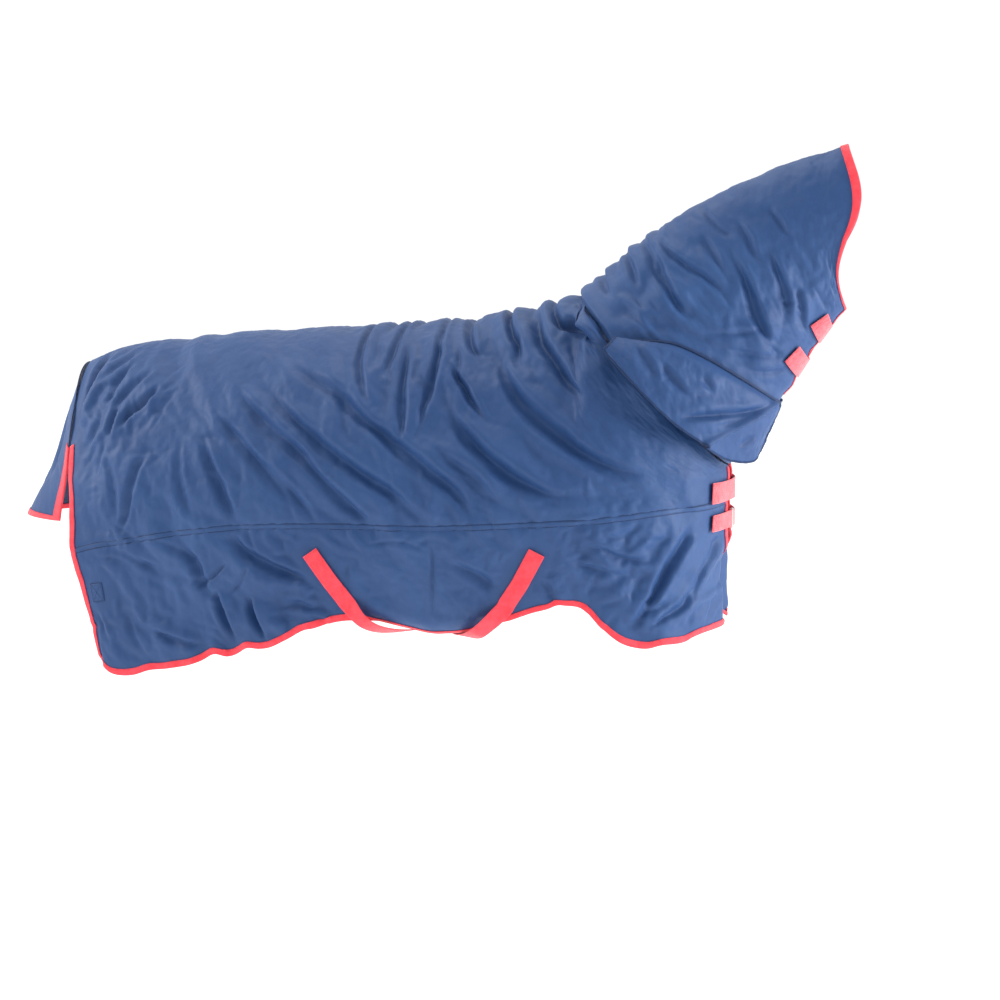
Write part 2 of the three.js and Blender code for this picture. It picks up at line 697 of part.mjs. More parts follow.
const TAIL_COLUMNS = [-1, -0.9, -0.6, -0.3, 0, 0.3, 0.6, 0.9, 1];
const TAIL_ROWS = [0, 1, 2, 3, 3.87, 4];
const tailCentre = TAIL_RIBS.map((rib) => rib.centre);
const tailEdge = TAIL_RIBS.map((rib) => rib.edge);
const tailGrid = makeGrid(TAIL_ROWS.length, TAIL_COLUMNS.length, (r, c) => {
  const [x, z] = along(tailCentre, TAIL_ROWS[r]);
  const [ex, wide, ez] = along(tailEdge, TAIL_ROWS[r]);
  const across = TAIL_COLUMNS[c];
  const bend = across * across;
  return vector(x + (ex - x) * bend, -wide * across, z + (ez - z) * bend);
}, () => vector(-1, 0, 0.3));
addMesh('tail_flap_panel', thickened([tailGrid], SHELL), NAVY);
addMesh('tail_flap_lining', thickened([tailGrid], LINING), LINING_NAVY);

function tailBindingLine(grid) {
  // Down one side, along the free edge and up the other side.
  const [lastRow, lastColumn] = [grid.rows - 1, grid.columns - 1];
  const entry = (r, c, br, bc) => ({
    edge: grid.point[r][c], edgeNormal: grid.normal[r][c],
    back: grid.point[br][bc], backNormal: grid.normal[br][bc],
    turned: c === 0 || (c === lastColumn && r < lastRow),
  });
  const line = [];
  for (let r = 1; r < lastRow; r++) line.push(entry(r, 0, r, 1));
  line.push(entry(lastRow, 0, lastRow - 1, 1));
  for (let c = 1; c < lastColumn; c++) line.push(entry(lastRow, c, lastRow - 1, c));
  line.push(entry(lastRow, lastColumn, lastRow - 1, lastColumn - 1));
  for (let r = lastRow - 1; r >= 1; r--) line.push(entry(r, lastColumn, r, lastColumn - 1));
  return line;
}
addMesh('tail_flap_binding', bindingAlong(tailBindingLine(tailGrid)), RED);

// ---------------------------------------------------------------- surcingles

const PLATE_START = 22; // slot plate's near end past the webbing of the loose end
const STRAP_STEPS = 22;
const TAB_STEPS = 9;
const TAB_SHARE = 0.74; // how much of the mirrored route a tab follows

const BARREL_CENTRE_Z = -420;
const radial = (p) => vector(0, p.y, p.z - BARREL_CENTRE_Z).normalize();

function betweenAll(list, parts) {
  // The listed points with equal steps put in between.
  const out = [];
  for (let i = 0; i + 1 < list.length; i++) {
    for (let k = 0; k < parts; k++) {
      out.push(list[i].map((n, axis) => n + ((list[i + 1][axis] - n) * k) / parts));
    }
  }
  return [...out, list[list.length - 1]];
}

function strapRoute({ onPanel, free }) {
  // Knots [x, y, z, and the outward direction there], on the panel and then round the belly.
  const seated = betweenAll(onPanel, 3).map(([x, z]) => {
    const spot = findOnGrid(bodyRight, x, z);
    const knot = spot.point.clone().addScaledVector(spot.normal, STRAP_LIFT);
    return [...knot.toArray(), ...spot.normal.toArray()];
  });
  const hanging = free.map((p) => [...p, ...radial(vector(...p)).toArray()]);
  const knots = [...seated, ...hanging];
  return (share) => {
    const [x, y, z, nx, ny, nz] = along(knots, share * (knots.length - 1));
    return { point: vector(x, y, z), out: vector(nx, ny, nz).normalize() };
  };
}

function rectangle([x0, x1], half, Path = THREE.Path) {
  const path = new Path();
  path.moveTo(x0, -half);
  path.lineTo(x1, -half);
  path.lineTo(x1, half);
  path.lineTo(x0, half);
  path.closePath();
  return path;
}

const hole = (range, half) => new THREE.Path(rectangle(range, half).getPoints().reverse());

function hookPlate() {
  // A flat hook: webbing slot, narrow neck and a lip that drops through the slot plate.
  const { shoulder, neck, neckHalf } = HOOK;
  const shape = new THREE.Shape();
  shape.moveTo(0, -PLATE_HALF);
  shape.lineTo(shoulder, -PLATE_HALF);
  shape.lineTo(neck, -neckHalf);
  shape.lineTo(HOOK_REACH, -neckHalf);
  shape.lineTo(HOOK_REACH, neckHalf);
  shape.lineTo(neck, neckHalf);
  shape.lineTo(shoulder, PLATE_HALF);
  shape.lineTo(0, PLATE_HALF);
  shape.closePath();
  shape.holes.push(hole(HOOK.slot, HOOK.slotHalf));
  return shape;
}

function slotPlate() {
  // The plate that receives the hook: hook slot at the near end, webbing slot at the far end.
  const shape = rectangle([0, SLOT_PLATE.long], PLATE_HALF, THREE.Shape);
  shape.holes.push(hole(SLOT_PLATE.hookSlot, SLOT_PLATE.hookHalf));
  shape.holes.push(hole(SLOT_PLATE.tabSlot, SLOT_PLATE.tabHalf));
  return shape;
}

function hookWithLip() {
  // The hook plate with a lip behind its nose, hanging below the plate.
  const { lipBack, lipDrop, neckHalf } = HOOK;
  const plate = toManifold(slab(hookPlate(), PLATE_THICK));
  const lip = new THREE.BoxGeometry(PLATE_THICK, 2 * neckHalf, PLATE_THICK + lipDrop);
  lip.translate(HOOK_REACH - PLATE_THICK / 2 - lipBack, 0, (PLATE_THICK - lipDrop) / 2);
  return fromManifold(plate.add(toManifold(lip)));
}

function sliderFrame() {
  // A ladder slide: a frame round the webbing with a raised bar across its middle.
  const { long, wide, high, side, mouth, bar, barHigh } = SLIDER;
  const clear = WEBBING_WIDTH + 2;
  const boxes = [
    [long, wide, high], [long - 2 * side, clear, high + 2], [long + 4, clear, mouth],
  ].map((size) => {
    const box = new THREE.BoxGeometry(...size);
    return toManifold(box.translate(0, 0, high / 2));
  });
  const cross = new THREE.BoxGeometry(bar, clear + 2, barHigh);
  cross.translate(0, 0, high / 2 + mouth / 2 + barHigh / 2 - 0.05);
  return fromManifold(boxes[0].subtract(boxes[1]).subtract(boxes[2]).add(toManifold(cross)));
}

function loopFrame({ long, wide, high, wall }, band) {
  // A closed loop round a band of the given width, with its floor on Z = 0.
  const outer = new THREE.BoxGeometry(long, wide, high);
  const inner = new THREE.BoxGeometry(long + 2, band + 1.5, high - 2 * wall);
  outer.translate(0, 0, high / 2);
  inner.translate(0, 0, high / 2);
  return fromManifold(toManifold(outer).subtract(toManifold(inner)));
}

function slab(shape, depth) {
  const geometry = new THREE.ExtrudeGeometry(shape, { depth, bevelEnabled: false });
  geometry.deleteAttribute('normal');
  geometry.deleteAttribute('uv');
  return mergeVertices(geometry, 1e-3);
}

const routes = Object.fromEntries(
  Object.entries(SURCINGLES).map(([name, spec]) => [name, strapRoute(spec)]));

Object.entries(routes).forEach(([name, route]) => {
  // The webbing sewn on the right side: down the panel and under the belly to the hinge line.
  const stops = Array.from({ length: STRAP_STEPS + 1 }, (_, k) => route(k / STRAP_STEPS));
  const middle = stops[STRAP_STEPS].point;
  const mate = routes[name === 'rear' ? 'front' : 'rear'];
  const other = mirrored(mate(0.82).point);
  const ahead = other.clone().sub(middle).setX(other.x - middle.x).normalize();
  const reach = (y) => middle.clone().addScaledVector(ahead, y / ahead.y);
  const beyond = [STRAP_HINGE_Y / 2, STRAP_HINGE_Y - GAP].map(reach)
    .map((point) => ({ point, out: radial(point) }));
  const sewn = [...stops, ...beyond];
  addMesh(`surcingle_${name}_webbing`,
    strip(sewn.map((s) => s.point), sewn.map((s) => s.out), WEBBING_WIDTH, 0, WEBBING_THICK), RED);

  // The loose end, straight and taut from the hinge line to the hook.
  const [from, to] = [reach(STRAP_HINGE_Y), reach(STRAP_END_Y)];
  const out = radial(from);
  addMesh(`surcingle_${name}_end`,
    strip([from, to], [out, out], WEBBING_WIDTH, 0, WEBBING_THICK), RED);

  const square = ahead.clone().cross(out).normalize();
  const up = square.clone().cross(ahead).normalize();
  const holder = seat(to, up, ahead);
  const hook = addMesh(`surcingle_${name}_hook`, hookWithLip(), STEEL, holder);
  hook.position.set(GAP, 0, 0);
  const slider = addMesh(`surcingle_${name}_slider`, sliderFrame(), STEEL, holder);
  slider.position.set(-SLIDER_BACK, 0, -1.6);
  const keeper = addMesh(`surcingle_${name}_keeper`, loopFrame(KEEPER, WEBBING_WIDTH),
    BLACK_RUBBER, holder);
  keeper.position.set(-KEEPER_BACK, 0, -2.2);

  // The slot plate on its short tab, which comes down the left side panel.
  const plate = addMesh(`surcingle_${name}_slot_plate`, slab(slotPlate(), PLATE_THICK), STEEL,
    holder);
  plate.position.set(PLATE_START, 0, -PLATE_THICK - 0.6);
  const plateEnd = to.clone().addScaledVector(ahead, PLATE_START + SLOT_PLATE.long + 2)
    .addScaledVector(up, -PLATE_THICK - 0.4);
  const tab = [];
  for (let k = 0; k <= TAB_STEPS; k++) {
    const stop = mate((TAB_SHARE * k) / TAB_STEPS);
    tab.push({ point: mirrored(stop.point), out: mirrored(stop.out) });
  }
  [0.4, 0].forEach((share) => {
    const point = plateEnd.clone().lerp(tab[TAB_STEPS].point, share);
    tab.push({ point, out: radial(point) });
  });
  addMesh(`surcingle_${name}_tab`,
    strip(tab.map((s) => s.point), tab.map((s) => s.out), WEBBING_WIDTH, 0, WEBBING_THICK), RED);
});

// ---------------------------------------------------------------- throat straps

const flipStop = ({ point, out }) => ({ point: mirrored(point), out: mirrored(out) });
const band = (stops, width, thick) => (
  strip(stops.map((s) => s.point), stops.map((s) => s.out), width, 0, thick));

NECK_STRAPS.forEach(({ name, at }) => {
  // A wide hook-and-loop strap: sewn on the left, across the throat, pressed on the right.
  const stop = (lift) => (round) => {
    const out = neckNormal(at, round);
    return { point: neckPoint(at, round).addScaledVector(out, lift), out };
  };
  const left = [0.93, 0.965, 1].map(stop(THROAT_LIFT)).map(flipStop);
  const right = [1, 0.965, 0.93, 0.895, 0.86].map(stop(THROAT_LIFT));
  const sewn = [0.86, 0.89, 0.918].map(stop(THROAT_LIFT)).map(flipStop);
  const pad = [0.875, 0.905, 0.933].map(stop(THROAT_PAD_LIFT));
  addMesh(`${name}_strap`, band([...left, ...right], NECK_STRAP_WIDTH, WEBBING_THICK), RED);
  addMesh(`${name}_strap_anchor`, band(sewn, NECK_STRAP_WIDTH, WEBBING_THICK), RED);
  addMesh(`${name}_loop_patch`, band(pad, NECK_STRAP_WIDTH - 8, 1.2), HOOK_TAPE);
});

// ---------------------------------------------------------------- chest straps

function chestRoute(z, from, to, lift, steps) {
  // Stops across the right front panel at one height, from one X to another.
  return Array.from({ length: steps + 1 }, (_, k) => {
    const x = from + ((to - from) * k) / steps;
    const spot = findOnGrid(bodyRight, x, z);
    return { point: spot.point.addScaledVector(spot.normal, lift), out: spot.normal };
  });
}

CHEST_STRAPS.forEach(({ name, z, width }) => {
  const right = chestRoute(z, CHEST_REACH, CHEST_EDGE, CHEST_LIFT, 4);
  const left = right.slice(-2).reverse().map(flipStop);
  const bridge = { point: vector(CHEST_EDGE + CHEST_BOW, 0, z), out: vector(1, 0, 0) };
  addMesh(`${name}_strap`, band([...right, bridge, ...left], width, WEBBING_THICK), RED);
  const patch = chestRoute(z, CHEST_REACH + 4, CHEST_EDGE - 8, 4.3, 3);
  addMesh(`${name}_loop_patch`, band(patch, width - 6, 1.4), HOOK_TAPE);
  const sewn = chestRoute(z, CHEST_REACH, CHEST_EDGE - CHEST_HINGE_BACK, CHEST_LIFT, 3);
  addMesh(`${name}_strap_anchor`, band(sewn.map(flipStop), width, WEBBING_THICK), RED);

  if (name === 'chest_lower') {
    // A steel slide halfway between the right front edge and the middle of the bow.
    const edge = right[right.length - 1];
    const ahead = bridge.point.clone().sub(edge.point).normalize();
    const side = ahead.clone().cross(edge.out.clone().add(bridge.out)).normalize();
    const middle = edge.point.clone().lerp(bridge.point, 0.5);
    const slide = addMesh(`${name}_slide`, loopFrame(CHEST_SLIDE, width), STEEL,
      seat(middle, side.cross(ahead), ahead));
    slide.position.z = (WEBBING_THICK - CHEST_SLIDE.high) / 2;
  }
});

// ---------------------------------------------------------------- leg-strap anchors

function deeRing(wide, deep) {
  // A D-ring: a straight bar joined to a half-round bow, of square bar stock.
  const outline = (inset) => {
    const shape = new THREE.Path();
    const w = wide / 2 - inset;
    shape.moveTo(inset - 0.5 * RING_BAR, -w);
    shape.lineTo(deep - wide / 2, -w);
    shape.absarc(deep - wide / 2, 0, w, -Math.PI / 2, Math.PI / 2, false);
    shape.lineTo(inset - 0.5 * RING_BAR, w);
    shape.closePath();
    return shape;
  };
  const shape = new THREE.Shape(outline(0).getPoints(7));
  shape.holes.push(new THREE.Path(outline(RING_BAR).getPoints(7).reverse()));
  return slab(shape, RING_BAR);
}

function barLoop(reach, width) {
  // A webbing loop in side view: a flat tongue that folds round the ring's straight bar.
  const inner = RING_BAR * 0.75 + 0.3;
  const outer = inner + LOOP_THICK;
  const shape = new THREE.Shape();
  shape.moveTo(-reach, -outer);
  shape.lineTo(0, -outer);
  shape.absarc(0, 0, outer, -Math.PI / 2, Math.PI / 2, false);
  shape.lineTo(-reach, -outer + 2 * LOOP_THICK);
  shape.closePath();
  const hole = new THREE.Path();
  hole.absarc(0, 0, inner, 0, Math.PI * 2, true);
  shape.holes.push(hole);
  const loop = slab(shape, width);
  loop.translate(0, 0, -width / 2);
  loop.rotateX(Math.PI / 2);
  return loop;
}

bothSides(([side, grid]) => {
  const spot = findOnGrid(bodyRight, LEG_ANCHOR.x, LEG_ANCHOR.z);
  const place = side === 'right' ? spot
    : { point: mirrored(spot.point), normal: mirrored(spot.normal) };
  const down = onGrid(grid, spot.r + 0.3, spot.c).point.sub(place.point);
  const outside = seat(place.point, place.normal, down);
  const patch = new THREE.BoxGeometry(LEG_ANCHOR.long, LEG_ANCHOR.wide, LEG_ANCHOR.thick);
  addMesh(`leg_anchor_patch_${side}`, patch, NAVY, outside)
    .position.z = SHELL[1] + LEG_ANCHOR.lift + LEG_ANCHOR.thick / 2;

  // The ring hangs inside, in a webbing loop sewn through to the patch.
  const inside = seat(place.point, place.normal.clone().negate(), down);
  const loop = addMesh(`leg_ring_loop_${side}`, barLoop(22, 25), RED, inside);
  const ring = addMesh(`leg_ring_${side}`, deeRing(36, 30), STEEL, inside);
  loop.position.z = LEG_ANCHOR.ringLift;
  ring.position.z = LEG_ANCHOR.ringLift - RING_BAR / 2;
});

export default group;
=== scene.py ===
"""Turnout rug with a neck cover: the cloth, bindings, straps and fittings round the CAD frame.

The rug's shapes are written here in millimetres, in the frame's own axes (origin on the back at
the withers, +X to the head, +Y to the left, +Z up), and become metres when a mesh is made.
Every grid of cloth has rows running down the cloth and columns running towards the head.
The right side is made first, at -Y, and the left one is its mirror image with its own folds.
"""

import json
import math

import bpy
import numpy as np
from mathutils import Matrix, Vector

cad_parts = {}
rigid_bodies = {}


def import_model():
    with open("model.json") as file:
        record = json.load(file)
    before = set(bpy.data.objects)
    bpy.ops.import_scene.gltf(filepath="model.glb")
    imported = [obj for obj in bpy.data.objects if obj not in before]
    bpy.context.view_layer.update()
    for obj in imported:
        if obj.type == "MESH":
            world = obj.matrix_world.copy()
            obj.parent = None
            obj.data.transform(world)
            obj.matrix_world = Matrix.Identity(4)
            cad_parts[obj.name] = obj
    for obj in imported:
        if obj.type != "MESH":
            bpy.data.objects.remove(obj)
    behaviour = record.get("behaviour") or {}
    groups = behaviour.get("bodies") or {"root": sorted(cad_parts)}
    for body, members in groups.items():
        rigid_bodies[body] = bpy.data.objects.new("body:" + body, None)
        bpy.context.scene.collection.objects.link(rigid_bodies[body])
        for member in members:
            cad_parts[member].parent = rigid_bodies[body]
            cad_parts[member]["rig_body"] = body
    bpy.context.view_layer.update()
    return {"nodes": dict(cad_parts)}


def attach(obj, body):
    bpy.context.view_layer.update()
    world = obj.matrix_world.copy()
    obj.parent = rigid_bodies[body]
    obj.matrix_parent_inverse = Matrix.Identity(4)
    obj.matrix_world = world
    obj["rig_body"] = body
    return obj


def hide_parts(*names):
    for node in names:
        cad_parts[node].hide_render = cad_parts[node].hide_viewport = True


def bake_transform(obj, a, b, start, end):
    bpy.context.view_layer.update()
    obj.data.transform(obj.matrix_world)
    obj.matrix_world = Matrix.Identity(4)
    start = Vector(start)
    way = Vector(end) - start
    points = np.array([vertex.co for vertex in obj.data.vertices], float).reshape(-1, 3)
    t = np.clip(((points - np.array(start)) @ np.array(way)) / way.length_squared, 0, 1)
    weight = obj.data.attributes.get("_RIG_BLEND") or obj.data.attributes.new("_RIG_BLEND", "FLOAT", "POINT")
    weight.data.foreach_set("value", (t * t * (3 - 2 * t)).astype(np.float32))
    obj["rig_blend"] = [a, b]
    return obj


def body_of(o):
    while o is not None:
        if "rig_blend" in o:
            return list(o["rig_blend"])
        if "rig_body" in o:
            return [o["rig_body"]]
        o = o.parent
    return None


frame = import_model()

# ------------------------------------------------------------------ driving sizes (mm)

CELL, FLAP_CELL = 4.6, 4.0  # spacing of the cloth's grids
CLOTH_LIFT = 1.5  # outer cloth above the lining
BINDING_WIDTH = 15
WEBBING = 40  # surcingle webbing
WEBBING_THICK = 2.2
THREAD_LIFT = WEBBING_THICK + 0.2  # a band's stitches above its inner face
STRAP_LIFT = 5.0  # webbing's inner face above the lining
NECK_STRAP = 50
TAPE_THREAD_LIFT = CLOTH_LIFT + 2.25  # a binding's stitches above the lining
STITCH = 3.4  # stitch pitch

# ------------------------------------------------------------------ the worn shape

# Ribs of the body cloth: spine point [x, z] or share of the neckline, side seam and hem
# [x, half-width, z], fullness.
RIBS = [
    ((-1166, -130), (-1112, 266, -592), (-1048, 262, -848), 1.55),
    ((-1100, -106), (-1046, 282, -573), (-1004, 280, -888), 1.75),
    ((-1000, -85), (-955, 300, -556), (-915, 292, -880), 1.95),
    ((-850, -70), (-812, 320, -530), (-780, 306, -842), 2.1),
    ((-650, -51), (-620, 338, -507), (-595, 322, -794), 2.15),
    ((-430, -39), (-410, 346, -500), (-395, 330, -722), 2.1),
    ((-220, -30), (-205, 346, -499), (-205, 306, -744), 2.0),
    ((-50, -8), (-10, 336, -490), (-70, 302, -732), 1.85),
    (0.0, (118, 324, -482), (62, 302, -689), 1.7),
    (0.2, (196, 311, -476), (152, 292, -677), 1.6),
    (0.36, (262, 292, -469), (210, 287, -728), 1.48),
    (0.52, (330, 262, -461), (265, 277, -766), 1.4),
    (0.68, (396, 214, -457), (340, 250, -776), 1.3),
    (0.83, (446, 142, -454), (414, 180, -757), 1.22),
    (0.965, (472, 46, -452), (480, 50, -748), 1.15),
]
WITHERS_RIB = 8
LAST_RIB = len(RIBS) - 1

# Neck cover: crest x z, throat x z, half-width.
NECK = np.array([
    (112, 32, 480, -370, 230),
    (205, 118, 560, -262, 192),
    (305, 196, 612, -180, 158),
    (420, 262, 652, -115, 134),
    (540, 318, 690, -55, 118),
    (645, 356, 720, -16, 110),
    (738, 382, 741, 6, 106),
], float)
THROAT_GAP, FACE_SWEEP, FACE_TUCK = 18, 30, 19

# Neck flap: place along and round the neck at its seam, free edge x half-width z.
FLAP = np.array([
    (0.14, 0.36, 207, 252, -90),
    (0.5, 0.42, 262, 268, -150),
    (0.82, 0.48, 345, 264, -236),
    (1.05, 0.56, 430, 228, -302),
    (1.25, 0.66, 495, 162, -346),
    (1.45, 0.8, 550, 92, -355),
    (1.56, 0.97, 572, 42, -320),
], float)
FLAP_LIFT, FLAP_SEAM_LIFT, FLAP_BULGE = 8, 2.6, 14
# A flap's main fold passes this place x z (m), square to this direction x -z.
FLAP_FOLD_AT, FLAP_FOLD_SLOPE = (0.60, -0.21), (130, 220)

# Tail flap: centre line x z, side edge x half-width z.
TAIL = np.array([
    (-1174, -133, -1157, 128, -226),
    (-1192, -214, -1148, 177, -294),
    (-1228, -315, -1150, 193, -372),
    (-1287, -425, -1172, 178, -452),
    (-1350, -530, -1195, 160, -530),
], float)

# Surcingles: places x z down the right side panel, then x y z under the belly.
SURCINGLES = {
    "rear": {
        "panel": [(-474, -562), (-428, -627), (-384, -684)],
        "free": [(-342, -341, -727), (-300, -284, -753), (-248, -156, -770), (-205, 0, -777)],
    },
    "front": {
        "panel": [(62, -549), (20, -626), (-22, -690)],
        "free": [(-72, -324, -738), (-112, -266, -762), (-162, -140, -782), (-205, 0, -791)],
    },
}
SLIT_TOP = -338  # where the tail flap's free sides and the rear edges begin
HINGE_Y, END_Y = 56, 176  # a surcingle end's hinge line and tip
HOOK_TO_PLATE, PLATE_DROP = 58, 2.4
BARREL_Z = -420
TAB_SHARE = 0.74  # of a surcingle's route, that a left tab follows
MATE_SHARE = 0.82  # of the other surcingle's route, to the place a loose end points at
NECK_STRAPS = {"throat_lower": 2.72, "throat_upper": 4.05}  # place along the neck
THROAT_LIFT, THROAT_PAD_LIFT = 6.2, 3.0
CHEST_STRAPS = {"chest_upper": (-424, 50), "chest_lower": (-496, 40)}  # z, width
CHEST_REACH, CHEST_EDGE, CHEST_LIFT, CHEST_PAD_LIFT, CHEST_BOW = 440, 471, 8.5, 4.0, 17
LEG_ANCHOR, LEG_PATCH = (-1042, -688), 38

# Folds the cloth hangs in: half width and depth in mm, then the x, z places in cm of a line on
# the side of the rug. A negative depth stands proud.
BODY_FOLDS = [
    # Long drag folds from the croup down across the barrel.
    (14, 7, -69, -18, -61, -25, -50, -33, -43, -40),
    (15, 9, -62, -17, -54, -24, -46, -30, -37, -36, -27, -42, -18, -49),
    (13, 6, -57, -13, -47, -17, -40, -21, -33, -27, -26, -31),
    (12, 6, -74, -23, -66, -30, -59, -37, -52, -46),
    (12, 6, -76, -28, -72, -37, -68, -45, -66, -50),
    (12, 5, -63, -32, -56, -38, -49, -45, -45, -50),
    (12, 6, -50, -34, -43, -40, -36, -46, -32, -49),
    (15, 8, -36, -24, -29, -29, -21, -35, -13, -41, -7, -49),
    (13, 6, -20, -30, -13, -35, -7, -39, -1, -46),
    # The two deep ones that sweep forward to the shoulder.
    (16, 13, -16, -22, -12, -27, -7, -32, 0, -37, 8, -41, 17, -43),
    (17, 12, -5, -10, -2, -16, 2, -21, 8, -26, 16, -32, 25, -36, 33, -38),
    (9, 5, -28, -7, -27, -16, -26, -25, -26, -32),
    # Gathers pulled together behind the withers.
    (9, 6, -41, 10, -39, -9, -37, -16, -34, -23),
    (8, 5, -31, 9, -31, -9, -32, -15),
    (10, 8, -23, 10, -20, -10, -20, -16, -21, -22, -23, -30),
    (9, 9, -20, 10, -13, -7, -9, -11),
    (9, 9, -18, -12, -13, -17, -10, -21, -6, -26),
    (9, 13, -11, 10, -4, -4, -1, -8, 0, -12),
    (12, 11, -2, 12, 3, -4, 7, -10, 12, -16, 16, -20),
    (10, 13, 2, 11, 7, -2, 12, -4, 16, -6, 21, -9),
    # Pleats round the corner of the rump.
    (9, 7, -89, -18, -92, -22, -96, -25, -100, -30),
    (8, 6, -100, -23, -101, -27, -102, -32),
    (8, 4, -91, -14, -96, -18, -100, -22, -102, -25),
    (8, 4, -99, -13, -102, -18, -104, -23),
    (11, 8, -110, -10, -110, -18, -112, -24, -114, -30),
    (10, 5, -89, -34, -92, -37, -93, -40, -95, -49, -98, -57),
    (10, 3, -103, -34, -100, -39, -98, -46, -98, -52),
    (11, 3, -81, -29, -81, -38, -79, -45, -76, -51),
    # Side panel: drags towards the hem behind the rear surcingle.
    (14, 8, -68, -52, -63, -57, -54, -61, -47, -63),
    (13, 6, -81, -55, -77, -59, -75, -64, -73, -69),
    (7, 4, -68, -59, -72, -63, -78, -67),
    (9, 10, -72, -66, -70, -72, -67, -79),
    (9, 10, -63, -67, -62, -72, -59, -78),
    (9, 6, -90, -77, -83, -79, -76, -80),
    (7, 3, -62, -59, -65, -64, -69, -68),
    (5, 2.5, -18, -52, -18, -61, -19, -72),
    (6, 2, -34, -54, -25, -53, -18, -56),
    (13, 6, -14, -57, -7, -61, -3, -64),
    (9, 3, -100, -57, -93, -60, -85, -62),
    (8, 4, -108, -69, -105, -73, -101, -81),
    # Side panel: the chest end.
    (10, 8, 43.5, -45, 40, -51.5, 36, -58, 32, -66, 28, -74),
    (7, 5, 46, -50, 45, -56, 42, -62, 40, -69),
    (7, 4, 40, -64, 39, -68, 35, -71, 31, -73),
    (9, 3, 13, -57, 20, -59, 27, -61),
    (9, 3, 17, -52, 25, -56, 31, -57),
    (9, 4, 29, -70, 33, -68, 36, -66),
    (10, 4, 6, -60, 9, -64, 10, -68),
    (9, 4, -38, -58, -39, -63, -41, -67),
]
NECK_FOLDS = [
    (11, 8, 29, 17, 32, 9, 36, 2, 39, -3),
    (8, 4, 30, 18, 34, 13, 42, 8, 47, 4),
    (10, 4, 41, 18, 44, 13, 47, 7),
    (11, 9, 49, 13, 52, 6, 54, 0, 56, -5, 57, -8),
    (10, 4, 49, 21, 52, 16, 54, 10),
    (10, 6, 57, 14, 59, 8, 61, 2, 61, -2),
    (9, 5, 63, 6, 64, 1, 65, -6),
    (7, 3, 40, -5, 49, -5, 57, -4),
    (8, 4, 39, -6, 49, -9, 61, -11),
    (7, 4, 49, -13, 57, -14, 63, -12),
    (7, 5, 57, -8, 60, -10, 64, -10),
    (9, 8, 15, 13, 18, 7, 21, 2),
    (9, 7, 21, 17, 25, 10, 27, 4),
    (8, 5, 25, 20, 29, 13, 30, 8),
    (8, 3, 56, 24, 59, 20, 61, 16),
    (8, 3, 40, 25, 45, 19, 49, 17),
]
# On a neck flap.
FLAP_FOLDS = [
    (8, 6, 57, -22, 50, -23.5, 42, -24, 37, -24),
    (8, 4, 57, -22.5, 50, -25, 44, -26.5),
    (9, 3, 55, -29, 51, -32),
    (9, 3.5, 33, -12, 36, -16, 40, -20),
    (8, 3, 42, -15, 45, -19),
    (10, 3, 27, -8, 30, -12, 33, -16),
]
# On the tail flap, with y in place of x.
TAIL_FOLDS = [
    (12, 7, 2, -13, 3, -30, 5, -52),
    (12, 7, -5, -14, -6, -32, -4, -50),
    (10, 6, -9, -20, -11, -34, -10, -46),
    (11, 5, 10, -22, 10, -36, 12, -50),
]

# Small crumples: count, box x0 x1 z0 z1 (cm), direction (degrees), then the least and most
# length (cm), half width and depth (mm).
BODY_CRUMPLES = [
    (22, (-42, 16, -20, 1), -66, (5, 13), (6, 9), (1.5, 3.5)),
    (34, (-108, -84, -36, -12), -128, (5, 12), (5, 8), (1, 3)),
    (70, (-90, 20, -50, -15), -40, (8, 20), (8, 14), (0.8, 2.2)),
    (60, (-106, 42, -50, -22), -50, (3, 7), (5, 7), (0.5, 1.3)),
    (60, (-105, -44, -82, -52), -30, (4, 14), (6, 10), (0.8, 2.6)),
    (44, (5, 46, -76, -48), 52, (4, 12), (6, 9), (0.8, 2.6)),
    (26, (-44, 5, -72, -50), -20, (4, 12), (6, 9), (0.5, 1.6)),
    (50, (-106, 42, -60, -42), -84, (2.5, 5), (5, 7), (0.8, 1.8)),
]
NECK_CRUMPLES = (50, (20, 70, -10, 34), -58, (3, 12), (6, 10), (0.6, 2.2))
THROAT_CRUMPLES = (26, (55, 72, -14, 3), 8, (3, 8), (5, 7), (0.8, 2.2))
FLAP_CRUMPLES = (42, (20, 56, -32, -6), -30, (2, 6), (5, 7), (0.5, 1.8))
TAIL_CRUMPLES = (40, (-14, 14, -50, -15), 80, (4, 12), (6, 9), (0.6, 2.2))

